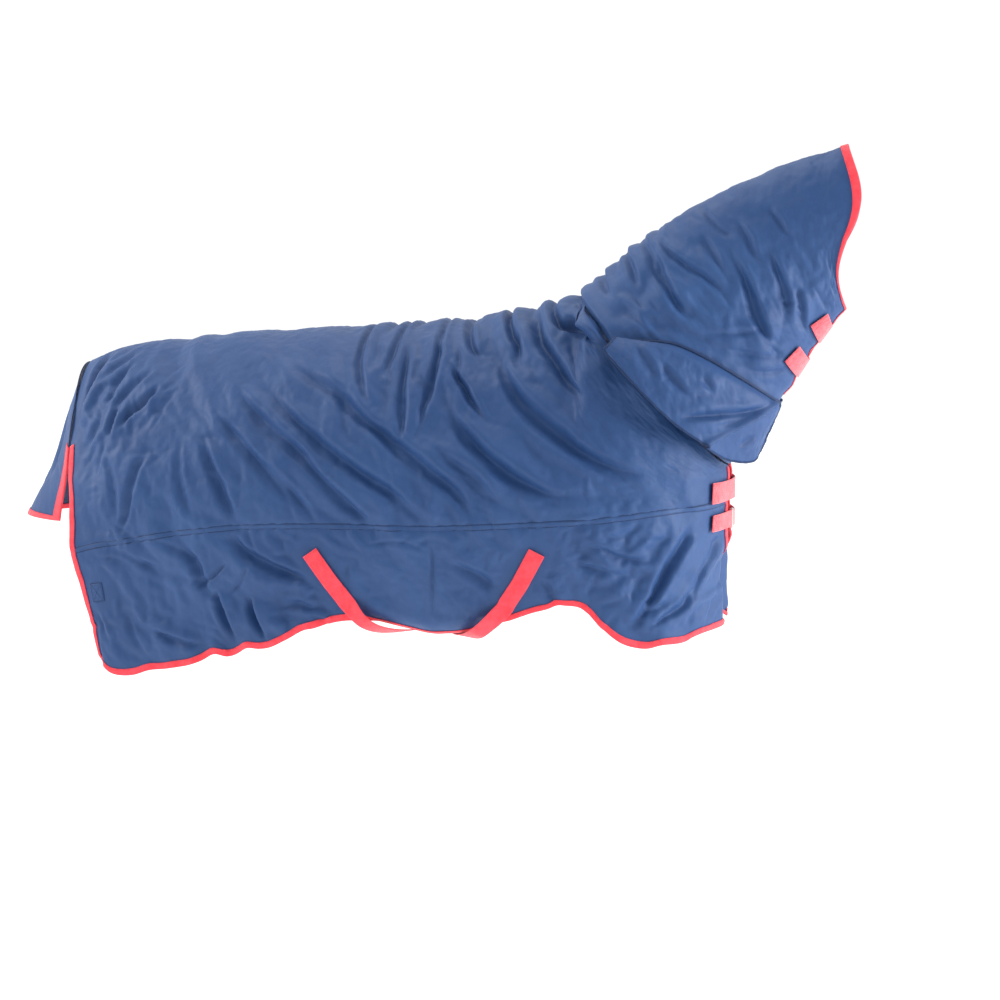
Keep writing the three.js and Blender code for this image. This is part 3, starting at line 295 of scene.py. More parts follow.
# Where the cloth has length to spare: place x, z (m), the direction its folds run in
# (degrees, 0 to the head, -90 down) and the spare share of its length across them.
BODY_SPARE = [
    (-1.06, -0.18, -128, 0.10), (-0.96, -0.16, -135, 0.06), (-0.90, -0.36, -105, 0.02),
    (-1.03, -0.42, -100, 0.015), (-0.72, -0.14, -60, 0.0), (-0.82, -0.10, -60, 0.0),
    (-0.72, -0.30, -55, 0.01), (-0.70, -0.42, -52, 0.04), (-0.55, -0.12, -42, 0.005),
    (-0.52, -0.28, -42, 0.05), (-0.45, -0.42, -45, 0.06), (-0.36, -0.05, -88, 0.10),
    (-0.20, -0.08, -78, 0.10), (-0.04, -0.06, -66, 0.10), (-0.22, -0.24, -62, 0.06),
    (0.05, -0.14, -58, 0.07), (0.16, -0.06, -48, 0.10), (-0.10, -0.38, -42, 0.07),
    (0.12, -0.38, -34, 0.04), (0.26, -0.18, -60, 0.0), (0.30, -0.32, -60, 0.0),
    (0.38, -0.43, -28, 0.05), (-0.98, -0.70, -60, 0.025), (-0.98, -0.56, -60, 0.01),
    (-0.74, -0.58, -45, 0.06), (-0.68, -0.74, -72, 0.12), (-0.50, -0.62, -22, 0.05),
    (-0.20, -0.62, -88, 0.01), (0.10, -0.60, -40, 0.02), (0.34, -0.60, 58, 0.09),
    (0.42, -0.52, 62, 0.12), (0.30, -0.70, 30, 0.05),
]
NECK_SPARE = [
    (0.20, 0.12, -60, 0.15), (0.29, 0.17, -62, 0.10), (0.36, 0.02, -60, 0.05),
    (0.42, 0.14, -50, 0.0), (0.45, 0.24, -50, 0.04), (0.54, 0.03, -66, 0.08),
    (0.60, 0.18, -55, 0.0), (0.60, -0.09, 5, 0.08), (0.68, 0.25, -60, 0.0),
    (0.68, -0.02, -30, 0.05),
]
FLAP_SPARE = [(0.35, -0.14, -45, 0.01), (0.52, -0.27, -140, 0.06), (0.45, -0.25, -160, 0.03)]
# Pleats that pull the hem up or down: place x, half width, lift.
HEM_KINKS = [
    (-905, 26, 6), (-800, 40, -5), (-730, 22, 9), (-690, 26, -6), (-640, 20, 8), (-585, 34, -5),
    (-500, 24, 5), (-190, 120, -14), (105, 16, 6), (345, 24, 8), (395, 18, -5),
]


# ------------------------------------------------------------------ curves and surfaces

def catmull(values, at):
    """Uniform Catmull-Rom through rows of numbers, the ends run on straight."""
    values = np.asarray(values, float)
    at = np.asarray(at, float)
    last = len(values) - 1
    i = np.clip(np.floor(at).astype(int), 0, last - 1)
    f = at - i
    first, final = i == 0, i + 2 > last
    if values.ndim > 1:
        f, first, final = f[..., None], first[..., None], final[..., None]
    b, c = values[i], values[i + 1]
    a = np.where(first, 2 * b - c, values[np.maximum(i - 1, 0)])
    d = np.where(final, 2 * c - b, values[np.minimum(i + 2, last)])
    square = (2 * a - 5 * b + 4 * c - d) * f * f
    cubic = (3 * (b - c) + d - a) * f ** 3
    return b + 0.5 * ((c - a) * f + square + cubic)


def smooth(low, high, x):
    """A smooth step from 0 at low to 1 at high, which may be the lesser."""
    t = np.clip((x - low) / (high - low), 0, 1)
    return t * t * (3 - 2 * t)


def bell(distance, width):
    """1 at no distance, falling to 0 over about twice the width."""
    return np.exp(-(distance / width) ** 2)


def unit(v):
    return v / np.maximum(np.linalg.norm(v, axis=-1, keepdims=True), 1e-9)


def arc(points, axis=0):
    """Length run so far along one axis of a grid of points."""
    step = np.linalg.norm(np.diff(points, axis=axis), axis=-1)
    zero = np.zeros_like(np.take(step, [0], axis=axis))
    return np.cumsum(np.concatenate([zero, step], axis), axis)


def even(function, low, high, count, fine=400):
    """Parameters between low and high whose points under function lie at equal spacing."""
    t = np.linspace(low, high, fine)
    length = arc(function(t))
    return np.interp(np.linspace(0, length[-1], count), length, t)


def normals(points, outward):
    """Unit normals of a grid, on the side that outward(points) points to."""
    n = unit(np.cross(np.gradient(points, axis=0), np.gradient(points, axis=1)))
    side = np.sum(n * outward(points), -1, keepdims=True)
    return np.where(side < 0, -n, n)


def side_view(points):
    """x and z of points in mm, in metres."""
    return points[..., 0] * 0.001, points[..., 2] * 0.001


def neck_point(along, around):
    """along: 0 at the withers to 6 at the face opening; around: 0 at the crest, 1 the throat."""
    along, around = np.broadcast_arrays(np.asarray(along, float), np.asarray(around, float))
    rib = catmull(NECK, along)
    share = (1 - np.cos(np.pi * around)) / 2
    bulge = np.maximum(np.sin(np.pi * around), 0) ** 0.9
    bow = np.sin(2 * np.pi * share ** 1.25)
    opening = np.maximum(0, along - 5)
    sweep = np.where(bow > 0, FACE_SWEEP, FACE_TUCK) * bow * opening
    return np.stack([
        rib[..., 0] + (rib[..., 2] - rib[..., 0]) * share + sweep,
        -(rib[..., 4] * bulge + THROAT_GAP * around ** 4),
        rib[..., 1] + (rib[..., 3] - rib[..., 1]) * share,
    ], -1)


def off_neck(along, around, lift):
    """Place at a height above the bare neck, and the way out there."""
    step = 0.02
    point = neck_point(along, around)
    ahead = neck_point(along + step, around) - neck_point(along - step, around)
    down = neck_point(along, np.minimum(1, around + step)) - neck_point(along, around - step)
    out = unit(np.cross(down, ahead))
    out = np.where(out[..., 1:2] > 0, -out, out)
    return point + out * np.asarray(lift, float)[..., None], out


def rib_top(rib):
    """A rib's place on the spine, or on the neckline where it starts at a share of that."""
    if isinstance(rib[0], tuple):
        return rib[0][0], 0, rib[0][1]
    x, y, z = neck_point(0, rib[0])
    return x, -y, z


TOPS = np.array([rib_top(rib) for rib in RIBS], float)
SEAMS, HEMS = (np.array([rib[k] for rib in RIBS], float) for k in (1, 2))
FULLS = np.array([rib[3] for rib in RIBS], float)


def body_point(u, v):
    """u: 0 at the tail to 14 at the chest; v: 0 at the spine, 1 at the side seam, 2 at the hem."""
    u, v = np.broadcast_arrays(np.asarray(u, float), np.asarray(v, float))
    top, seam, hem = catmull(TOPS, u), catmull(SEAMS, u), catmull(HEMS, u)
    top[..., 1] = np.where(u <= WITHERS_RIB, 0, top[..., 1])
    power = (2 / catmull(FULLS, u))[..., None]
    phi = (np.clip(v, 0, 1) * np.pi / 2)[..., None]
    out, down = np.sin(phi) ** power, 1 - np.cos(phi) ** power
    t = np.clip(v - 1, 0, 1)[..., None]
    upper = top + (seam - top) * np.concatenate([down, out, down], -1)
    lower = seam + (hem - seam) * np.concatenate([t, t * t * (2 - t), t], -1)
    return np.where((v > 1)[..., None], lower, upper) * (1, -1, 1)


def flap_point(k, t, lift=FLAP_LIFT):
    """k: row of FLAP; t: 0 at the seam to 1 at the free edge."""
    along, around, x, wide, z = np.moveaxis(catmull(FLAP, k), -1, 0)
    start, _ = off_neck(along, around, lift)
    edge = np.stack([x, -wide, z], -1)
    t = np.asarray(t, float)[..., None]
    swell = np.sin(np.pi * t * 0.9) * FLAP_BULGE
    return start + (edge - start) * t - swell * (0, 1, 0)


def tail_point(r, across):
    """r: row of TAIL; across: -1 at the left edge to 1 at the right."""
    x, z, ex, wide, ez = np.moveaxis(catmull(TAIL, r), -1, 0)
    bend = across ** 2
    return np.stack([x + (ex - x) * bend, -wide * across, z + (ez - z) * bend], -1)


# ------------------------------------------------------------------ folds

# Section of a fold in crisp cloth, in half widths and depths: a flat slope down to a sharp
# valley, a steep wall up to a sharp crest, and a long flat slope beyond it.
ACROSS = np.linspace(-6, 6, 481)
PROFILE = np.interp(ACROSS, [-4.2, -1.9, 0, 1.15, 2.3, 4.6], [0, 0.32, -1.0, 0.8, 0.42, 0])
for _ in range(2):
    PROFILE = np.convolve(np.pad(PROFILE, 7, "edge"), np.ones(15) / 15, "valid")


def laid_out(rows):
    """Folds as (line in metres, half width, depth) from rows of a table above."""
    return [(np.array(row[2:], float).reshape(-1, 2) / 100, *row[:2]) for row in rows]


def beside(x, z, a, b):
    """Share along the stretch from a to b of the place nearest to x, z, and the way from it."""
    d = b - a
    t = np.clip(((x - a[0]) * d[0] + (z - a[1]) * d[1]) / (d @ d), 0, 1)
    return t, x - a[0] - t * d[0], z - a[1] - t * d[1]


def folded(x, z, folds, scale=1.0):
    """Height in mm at places x, z (metres) of folds given as lines."""
    height = np.zeros_like(x)
    for line, wide, deep in folds:
        path = catmull(line, np.linspace(0, len(line) - 1, 8 * (len(line) - 1) + 1))
        reach = 0.001 * wide * 4.8
        near = ((x > path[:, 0].min() - reach) & (x < path[:, 0].max() + reach)
                & (z > path[:, 1].min() - reach) & (z < path[:, 1].max() + reach))
        if not near.any():
            continue
        px, pz = x[near], z[near]
        best = np.full(px.shape, 1e9)
        signed, share = np.zeros(px.shape), np.zeros(px.shape)
        for i, (a, b) in enumerate(zip(path, path[1:])):
            t, ox, oz = beside(px, pz, a, b)
            distance = np.hypot(ox, oz)
            closer = distance < best
            best = np.where(closer, distance, best)
            side = np.sign((b - a)[0] * oz - (b - a)[1] * ox)
            signed = np.where(closer, distance * side, signed)
            share = np.where(closer, (i + t) / (len(path) - 1), share)
        taper = smooth(0, 0.3, share) * smooth(1, 0.62, share)
        narrow = 0.001 * wide * (0.6 + 0.5 * np.sin(np.pi * share))
        height[near] += scale * deep * taper * np.interp(signed / narrow, ACROSS, PROFILE)
    return height


def crinkles(count, box, along, length, wide, deep, seed):
    """Short random folds in a box, running roughly along a direction."""
    r = np.random.default_rng(seed)
    box, length = np.array(box) / 100, np.array(length) / 100
    out = []
    for _ in range(count):
        x = r.uniform(box[0], box[1])
        z = r.uniform(box[2], box[3])
        angle = math.radians(along + r.normal(0, 24))
        half = 0.5 * r.uniform(*length)
        bend = r.normal(0, 0.16) * half
        c, s = math.cos(angle), math.sin(angle)
        line = [(x - c * half, z - s * half), (x - s * bend, z + c * bend),
                (x + c * half, z + s * half)]
        out.append((line, r.uniform(*wide), r.uniform(*deep) * r.choice([1, 1, -0.7])))
    return out


def shifted(folds, seed):
    """The same folds, moved and bent a little, for the other side of the rug."""
    r = np.random.default_rng(seed)
    out = []
    for line, wide, deep in folds:
        move = r.normal(0, 0.018, 2)
        turn = r.normal(0, 0.10)
        middle = line.mean(0)
        c, s = math.cos(turn), math.sin(turn)
        line = (line - middle) @ np.array([[c, s], [-s, c]]) + middle + move
        out.append((line, wide * r.uniform(0.85, 1.2), deep * r.uniform(0.7, 1.15)))
    return out


def drift(x, z, seed, size, count=7):
    """A smooth, gentle wave field, a few crossing waves of about the given size (m)."""
    r = np.random.default_rng(seed)
    total = np.zeros_like(x)
    for _ in range(count):
        angle = r.uniform(0, 2 * np.pi)
        k = 2 * np.pi / (size * r.uniform(0.7, 1.5))
        total += np.sin(k * (x * math.cos(angle) + z * math.sin(angle)) + r.uniform(0, 6.28))
    return total / count


def creased(x, z, seed, count=24):
    """Fine straight creases of crisp cloth: patches of sharp-crested waves, in mm."""
    r = np.random.default_rng(seed)
    total = np.zeros_like(x)
    for _ in range(count):
        angle = math.radians(r.choice([-48, -60, 20, 75, -15]) + r.normal(0, 14))
        size = r.uniform(0.07, 0.19)
        phase = (x * math.sin(angle) - z * math.cos(angle)) / size + r.uniform(0, 1)
        phase += 0.12 * np.sin((x * math.cos(angle) + z * math.sin(angle)) * 9 + r.uniform(0, 6))
        ridge = 1 - 2 * np.abs((phase % 1) * 2 - 1)
        patch = smooth(0.16, 0.5, drift(x, z, int(r.integers(1 << 30)), 0.42, 4))
        total += r.uniform(1.4, 3.6) * ridge * patch
    return total


def spare_length(x, z, places):
    """The spare length at x, z (m) as a symmetric tensor (xx, xz, zz)."""
    total, weight = np.zeros((3, *x.shape)), np.full(x.shape, 1e-6)
    for px, pz, along, spare in places:
        near = np.exp(-((x - px) ** 2 + (z - pz) ** 2) / 0.11 ** 2)
        angle = math.radians(along + 90)
        c, s = math.cos(angle), math.sin(angle)
        total += near * spare * np.array([c * c, c * s, s * s])[:, None, None]
        weight += near
    return total / weight


def crumple(points, n, mask, places, seed, deep=7, proud=13):
    """Lets a grid of cloth buckle where it has length to spare.

    The grid is relaxed as a net of springs longer than they are drawn, first with wide
    meshes and then with finer ones, and stays within deep and proud (mm) of where it was."""
    r = np.random.default_rng(seed)
    rows, columns = points.shape[:2]
    steps = {(0, 1): 1, (1, 0): 1, (1, 1): 1, (1, -1): 1, (0, 2): 0.06, (2, 0): 0.06}
    for mesh, share, count in ((3, 1.0, 260), (2, 0.45, 120)):
        down = np.rint(np.linspace(0, rows - 1, (rows - 1) // mesh + 1)).astype(int)
        ahead = np.rint(np.linspace(0, columns - 1, (columns - 1) // mesh + 1)).astype(int)
        pick = np.ix_(down, ahead)
        start, out, free = points[pick], n[pick], mask[pick][..., None]
        x, z = side_view(start)
        # It comes in patches, with smooth cloth between them.
        patch = smooth(-0.25, 0.45, drift(x, z, seed, 0.3, 5))
        spare = share * patch * spare_length(x, z, places)
        net = []
        for (dr, dc), stiff in steps.items():
            a = (slice(0, len(down) - dr), slice(max(0, -dc), len(ahead) - max(0, dc)))
            b = (slice(dr, None), slice(max(0, dc), len(ahead) + min(0, dc)))
            long = math.hypot(dr, dc)
            cx, cz = dc / long, -dr / long
            excess = (spare[0] * cx * cx + 2 * spare[1] * cx * cz + spare[2] * cz * cz)[a]
            rest = np.linalg.norm(start[a] - start[b], axis=-1) * (1 + excess)
            net.append((a, b, rest, stiff))
        place = start + out * r.normal(0, 0.5, free.shape) * free
        for _ in range(count):
            move = np.zeros_like(place)
            for a, b, rest, stiff in net:
                gap = place[a] - place[b]
                length = np.linalg.norm(gap, axis=-1)
                pull = gap * (stiff * 0.5 * (1 - rest / np.maximum(length, 1e-6)))[..., None]
                move[a] -= pull
                move[b] += pull
            place += 0.3 * move * free
            height = np.sum((place - start) * out, -1, keepdims=True)
            place += out * (np.clip(height, -deep, proud) - height)
        change = place - start
        to_rows = np.interp(np.arange(rows), down, np.arange(len(down)))
        to_columns = np.interp(np.arange(columns), ahead, np.arange(len(ahead)))
        change = catmull(change.reshape(len(down), -1), to_rows).reshape(rows, len(ahead), 3)
        change = catmull(change.transpose(1, 0, 2).reshape(len(ahead), -1), to_columns)
        change = change.reshape(columns, rows, 3).transpose(1, 0, 2)
        points = points + change * mask[..., None]
    return points


# ------------------------------------------------------------------ straps on the body

def on_body(x, z):
    """Point and outward normal of the bare right side straight across from x, z (mm)."""
    grid, n, flank = bare["point"], bare["normal"], bare["flank"]
    near = (grid[flank:, :, 0] - x) ** 2 + (grid[flank:, :, 2] - z) ** 2
    r, c = np.unravel_index(np.argmin(near), near.shape)
    r += flank
    # One step of correction in the surface's own plane.
    out = n[r, c]
    off = np.array([x, 0, z]) - grid[r, c]
    off[1] = -(off[0] * out[0] + off[2] * out[2]) / out[1]
    return grid[r, c] + off, out


def strap_route(spec):
    """Knots (place and way out) of a surcingle's inner face, from its top to mid-belly."""
    panel = np.array(spec["panel"])
    places = [a + (b - a) * k / 3 for a, b in zip(panel, panel[1:]) for k in range(3)]
    knots = []
    for x, z in [*places, panel[-1]]:
        point, out = on_body(x, z)
        knots.append([*(point + out * STRAP_LIFT), *out])
    for x, y, z in spec["free"]:
        knots.append([x, y, z, *unit(np.array([0, y, z - BARREL_Z], float))])
    return np.array(knots)


def follow(knots, share):
    """Places and ways out at shares of a route."""
    found = catmull(knots, np.asarray(share) * (len(knots) - 1))
    return found[..., :3], unit(found[..., 3:])


# ------------------------------------------------------------------ meshes

def make(name, points, faces, material, body="root", uv=None):
    """A mesh object from points in mm, riding on a CAD body unless that is None."""
    mesh = bpy.data.meshes.new(name)
    points = np.asarray(points, float).reshape(-1, 3) * 0.001
    mesh.from_pydata(points.tolist(), [], [tuple(int(i) for i in f) for f in faces])
    mesh.update()
    if uv is not None:
        layer = mesh.uv_layers.new(name="cloth")
        index = np.empty(len(mesh.loops), np.int32)
        mesh.loops.foreach_get("vertex_index", index)
        layer.data.foreach_set("uv", np.asarray(uv, np.float32).reshape(-1, 2)[index].ravel())
    mesh.polygons.foreach_set("use_smooth", np.full(len(mesh.polygons), True))
    mesh.materials.append(material)
    obj = bpy.data.objects.new(name, mesh)
    bpy.context.scene.collection.objects.link(obj)
    if body is not None:
        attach(obj, body)
    return obj


def quads(rows, columns, flip=False, start=0):
    """Faces of a grid whose points are numbered row by row from start."""
    r, c = np.meshgrid(np.arange(rows - 1), np.arange(columns - 1), indexing="ij")
    a = start + r * columns + c
    faces = np.stack([a, a + columns, a + columns + 1, a + 1], -1).reshape(-1, 4)
    return faces[:, ::-1] if flip else faces


def faces_out(points, faces, n, sample):
    """The faces, all turned over if the sample one faces against the normals n."""
    p = np.asarray(points).reshape(-1, 3)
    f = faces[sample]
    across = np.cross(p[f[1]] - p[f[0]], p[f[2]] - p[f[0]])
    return faces if across @ np.asarray(n).reshape(-1, 3)[f[0]] > 0 else faces[:, ::-1]


def sheet_faces(points, n):
    faces = quads(*points.shape[:2])
    return faces_out(points, faces, n, len(faces) // 2)


def grid_uv(points):
    rows, columns = points.shape[:2]
    across = np.broadcast_to(arc(points[rows // 2][None], 1) * 0.001, (rows, columns))
    return np.stack([across, arc(points, 0) * 0.001], -1)


def shell(name, points, n, low, high):
    """A thin closed cloth round a grid: outer face, inner face and a rim all round."""
    rows, columns = points.shape[:2]
    outer, inner = points + n * high, points + n * low
    count = rows * columns
    faces = sheet_faces(outer, n)
    ring = ([(0, c) for c in range(columns)] + [(r, columns - 1) for r in range(1, rows)]
            + [(rows - 1, c) for c in range(columns - 2, -1, -1)]
            + [(r, 0) for r in range(rows - 2, 0, -1)])
    ids = np.array([r * columns + c for r, c in ring])
    after = np.roll(ids, -1)
    rim = np.stack([ids, after, after + count, ids + count], -1)
    # The rim turns the same way as the outer face along the first row.
    first = faces[(faces == ids[0]).any(1) & (faces == ids[1]).any(1)][0].tolist()
    if first[(first.index(ids[0]) + 1) % 4] == ids[1]:
        rim = rim[:, ::-1]
    solid = np.concatenate([outer.reshape(-1, 3), inner.reshape(-1, 3)])
    uv = np.concatenate([grid_uv(points).reshape(-1, 2)] * 2)
    return make(name, solid, np.concatenate([faces, faces[:, ::-1] + count, rim]),
                mats["navy"], None, uv)


def closed(points, faces):
    """A closed body's faces, turned outward."""
    p = np.asarray(points).reshape(-1, 3)
    p = p - p.mean(0)
    volume = 0
    for f in faces:
        for i in range(1, len(f) - 1):
            volume += p[f[0]] @ np.cross(p[f[i]], p[f[i + 1]])
    return [f[::-1] for f in faces] if volume < 0 else faces


def swept(name, line, sections, v, material, body):
    """A closed body of equal sections along a line, with v (m) round each section."""
    steps, sides = sections.shape[:2]
    ids = np.arange(steps * sides).reshape(steps, sides)
    a, b = ids[:-1], ids[1:]
    faces = np.stack([a, np.roll(a, -1, 1), np.roll(b, -1, 1), b], -1).reshape(-1, 4).tolist()
    faces = closed(sections, faces + [ids[0][::-1].tolist(), ids[-1].tolist()])
    run = arc(line[None], 1)[0] * 0.001
    uv = np.stack(np.broadcast_arrays(run[:, None], v[None]), -1)
    return make(name, sections, faces, material, body, uv)


def ribbon(name, points, outs, width, thick, material, body, slot, swell=0.12):
    """A webbing band with rounded edges along points, its inner face on them."""
    points, outs = np.asarray(points, float), np.asarray(outs, float)
    ahead = unit(np.gradient(points, axis=0))
    side = unit(np.cross(ahead, outs))
    up = unit(np.cross(side, ahead))
    half, r = width / 2, thick / 2
    profile = np.array(
        [(-half, r * 0.6), (-half + r * 0.35, 0.0), (0, 0), (half - r * 0.35, 0.0),
         (half, r * 0.6), (half, thick - r * 0.6), (half - r * 0.5, thick)]
        + [(half * share, thick + swell) for share in (0.8, 0.4, 0, -0.4, -0.8)]
        + [(-half + r * 0.5, thick), (-half, thick - r * 0.6)])
    sections = (points[:, None] + side[:, None] * profile[None, :, :1]
                + up[:, None] * profile[None, :, 1:])
    return swept(name, points, sections, profile[:, 0] * 0.001, material, body)


def stitches(name, points, outs, material, body):
    """A row of separate stitches lying on a line."""
    points, outs = np.asarray(points, float), np.asarray(outs, float)
    lift, size, half = 0.1, 0.45, 0.36 * STITCH
    run = arc(points[None], 1)[0]
    count = max(2, int(run[-1] / STITCH))
    at = (np.arange(count) + 0.5) * run[-1] / count
    a, b, out = (np.stack([np.interp(s, run, table[:, i]) for i in range(3)], -1)
                 for s, table in ((at - half, points), (at + half, points), (at, outs)))
    out = unit(out)
    side = unit(np.cross(unit(b - a), out))
    corners = []
    for place, drop, narrow in ((a, -0.25, 0.5), ((a + b) / 2, 0.0, 1.0), (b, -0.25, 0.5)):
        for s, u in ((-1, 0), (0, 1), (1, 0), (0, -0.6)):
            corners.append(place + side * s * size * narrow
                           + out * (lift + drop + u * size * narrow))
    corners = np.stack(corners, 1)
    one = [(k + i, k + j, k + 4 + j, k + 4 + i)
           for k in (0, 4) for i, j in ((0, 1), (1, 2), (2, 3), (3, 0))]
    one = closed(corners[0], one + [(3, 2, 1, 0), (8, 9, 10, 11)])
    faces = (np.array(one)[None] + np.arange(count)[:, None, None] * 12).reshape(-1, 4)
    return make(name, corners, faces, material, body)


def box_stitch(name, points, outs, width, lift, body="root", thread="red_thread",
               slot="red_webbing"):
    """Stitches round a sewn end of a band and crossing it in an X, as one piece."""
    points, outs = np.asarray(points), np.asarray(outs)
    side = unit(np.cross(unit(np.gradient(points, axis=0)), outs))
    half = width / 2 - 3.5
    rows = []
    for a, b in ((-1, -1), (1, 1), (-1, 1), (1, -1)):
        share = np.linspace(a, b, len(points))[:, None] * half
        rows.append((points + side * share + outs * lift, outs))
    for i in (0, len(points) - 1):
        share = np.linspace(-1, 1, 12)[:, None] * half
        rows.append((points[i] + side[i] * share + outs[i] * lift,
                     np.repeat(outs[i][None], 12, 0)))
    made = [stitches(f"{name}_{k}", places, out, mats[thread], body)
            for k, (places, out) in enumerate(rows)]
    keep = made[0]
    with bpy.context.temp_override(active_object=keep, object=keep, selected_objects=made,
                                   selected_editable_objects=made):
        bpy.ops.object.join()
    keep.name = name
    return keep


def folded_tape(name, edge, edge_n, back, back_n, body):
    """Binding folded over an edge: rounded U section from the back line over the edge."""
    away = unit(edge - back)
    outer = 2.1
    top = outer + 1.5
    # Share from the back line (0) to the edge (1), distance beyond the edge, height.
    profile = np.array([
        (0.0, 0, top - 0.9), (0.0, 0, top - 0.2), (0.06, 0, top + 0.05), (0.12, 0, top - 0.25),
        (0.2, 0, top + 0.1), (0.5, 0, top + 0.2), (0.8, 0, top + 0.2), (1.0, 0, top),
        (1.0, 1.3, top - 0.8), (1.0, 2.0, outer * 0.5), (1.0, 1.3, -1.2), (1.0, 0, -2.0),
        (0.6, 0, -2.1), (0.2, 0, -2.0), (0.0, 0, -1.8), (0.0, 0, -1.1),
        (0.6, 0, -0.9), (1.0, 0, -0.8), (1.0, 0.7, 0.2), (1.0, 0.7, outer),
        (1.0, 0, outer + 0.8), (0.5, 0, outer + 0.8),
    ])
    share = profile[None, :, :1]
    n = unit(back_n[:, None] + (edge_n - back_n)[:, None] * share)
    sections = (back[:, None] + (edge - back)[:, None] * share
                + away[:, None] * profile[None, :, 1:2] + n * profile[None, :, 2:])
    return swept(name, edge, sections, profile[:, 0] * 0.015, mats["tape"], body)


def bound(name, stitch_name, edge, edge_n, back, back_n, body="root"):
    """Binding between an edge and the line at its back, and its row of stitches."""
    tape = folded_tape(name, edge, edge_n, back, back_n, body)
    sewn = back + (edge - back) * 0.1 + back_n * TAPE_THREAD_LIFT
    return tape, stitches(stitch_name, sewn, back_n, mats["red_thread"], body)


def edge_places(rows, columns, rear=(), front=(), low=None):
    """Rows and columns of grid places round an edge, and of those one binding further in.

    The edge runs down column 0 at the rows in rear, along the last row, and back up the last
    column at the rows in front. Without those, it is the stretch low of the last row."""
    if low is None:
        low = range(BINDING_CELLS, columns - BINDING_CELLS)
        edge = ([(r, 0) for r in rear] + [(rows - 1, 0)] + [(rows - 1, c) for c in low]
                + [(rows - 1, columns - 1)] + [(r, columns - 1) for r in front[::-1]])
    else:
        edge = [(rows - 1, c) for c in low]
    r, c = np.array(edge).T
    inner = (np.minimum(r, rows - 1 - BINDING_CELLS),
             np.clip(c, BINDING_CELLS, columns - 1 - BINDING_CELLS))
    return (r, c), inner


def bind_grid(name, points, n, places):
    """Binding of an even width along edge places of a grid riding on the root."""
    edge, inner = places
    width = np.linalg.norm(points[edge] - points[inner], axis=-1, keepdims=True)
    back = points[edge] + (points[inner] - points[edge]) * np.minimum(1.4, BINDING_WIDTH / width)
    tape, _ = bound(name, name + "_stitches", points[edge], n[edge], back, n[inner])
    return tape


BINDING_CELLS = round(BINDING_WIDTH / CELL)

# ------------------------------------------------------------------ materials

def node(tree, kind, inputs=(), **settings):
    """A new node with its settings and inputs; an input is a socket to join or a value."""
    made = tree.nodes.new(kind)
    for key, value in settings.items():
        setattr(made, key, value)
    join_inputs(tree, made, dict(inputs))
    return made


def join_inputs(tree, made, inputs):
    """Joins a node's inputs to the sockets given, and sets those given as values."""
    for key, value in inputs.items():
        if isinstance(value, bpy.types.NodeSocket):
            tree.links.new(value, made.inputs[key])
        else:
            made.inputs[key].default_value = value


def new_material(name, rough, metal=0.0, sheen=0.0, specular=0.5):
    """A material with its node tree, shader, and the place on the object as coordinates."""
    material = bpy.data.materials.new(name)
    material.use_nodes = True
    tree = material.node_tree
    shader = tree.nodes["Principled BSDF"]
    join_inputs(tree, shader, {
        "Roughness": rough, "Metallic": metal, "Specular IOR Level": specular,
        "Sheen Weight": sheen, "Sheen Roughness": 0.4})
    return material, tree, shader, node(tree, "ShaderNodeTexCoord").outputs["Object"]


def noise(tree, place, scale, detail=3.0, rough=0.55, stretch=None, turn=0.0):
    """A noise texture's value at a place, optionally stretched."""
    if stretch is not None:
        place = node(tree, "ShaderNodeMapping", {
            "Scale": stretch, "Rotation": (0, turn, 0), "Vector": place}).outputs[0]
    return node(tree, "ShaderNodeTexNoise", {
        "Scale": scale, "Detail": detail, "Roughness": rough, "Vector": place}).outputs["Fac"]


def tint(tree, factor, dark, light, low=0.35, high=0.65):
    """A colour running from dark to light as the factor runs from low to high."""
    ramp = node(tree, "ShaderNodeValToRGB", {0: factor})
    for element, position, color in zip(ramp.color_ramp.elements, (low, high), (dark, light)):
        element.position = position
        element.color = (*color, 1)
    return ramp.outputs[0]


def spread(tree, value, low, high):
    return node(tree, "ShaderNodeMapRange", {
        "To Min": low, "To Max": high, "Value": value}).outputs[0]


def bumped(tree, shader, heights):
    """Chains bumps (height socket, strength, distance in m) into the shader's normal."""
    inputs = {}
    for height, strength, distance in heights:
        bump = node(tree, "ShaderNodeBump", {
            "Strength": strength, "Distance": distance, "Height": height, **inputs})
        inputs = {"Normal": bump.outputs[0]}
    join_inputs(tree, shader, inputs)


def weave(tree, pitch):
    """Crossing threads: warp and weft waves of the given pitch in metres."""
    uv = node(tree, "ShaderNodeUVMap").outputs[0]
    waves = [node(tree, "ShaderNodeTexWave", {
        "Scale": 0.31416 / pitch, "Distortion": 0.6, "Detail": 1.0, "Detail Scale": 2.0,
        "Vector": uv}, bands_direction=direction).outputs["Fac"] for direction in ("X", "Y")]
    return node(tree, "ShaderNodeMath", dict(enumerate(waves)), operation="MULTIPLY").outputs[0]


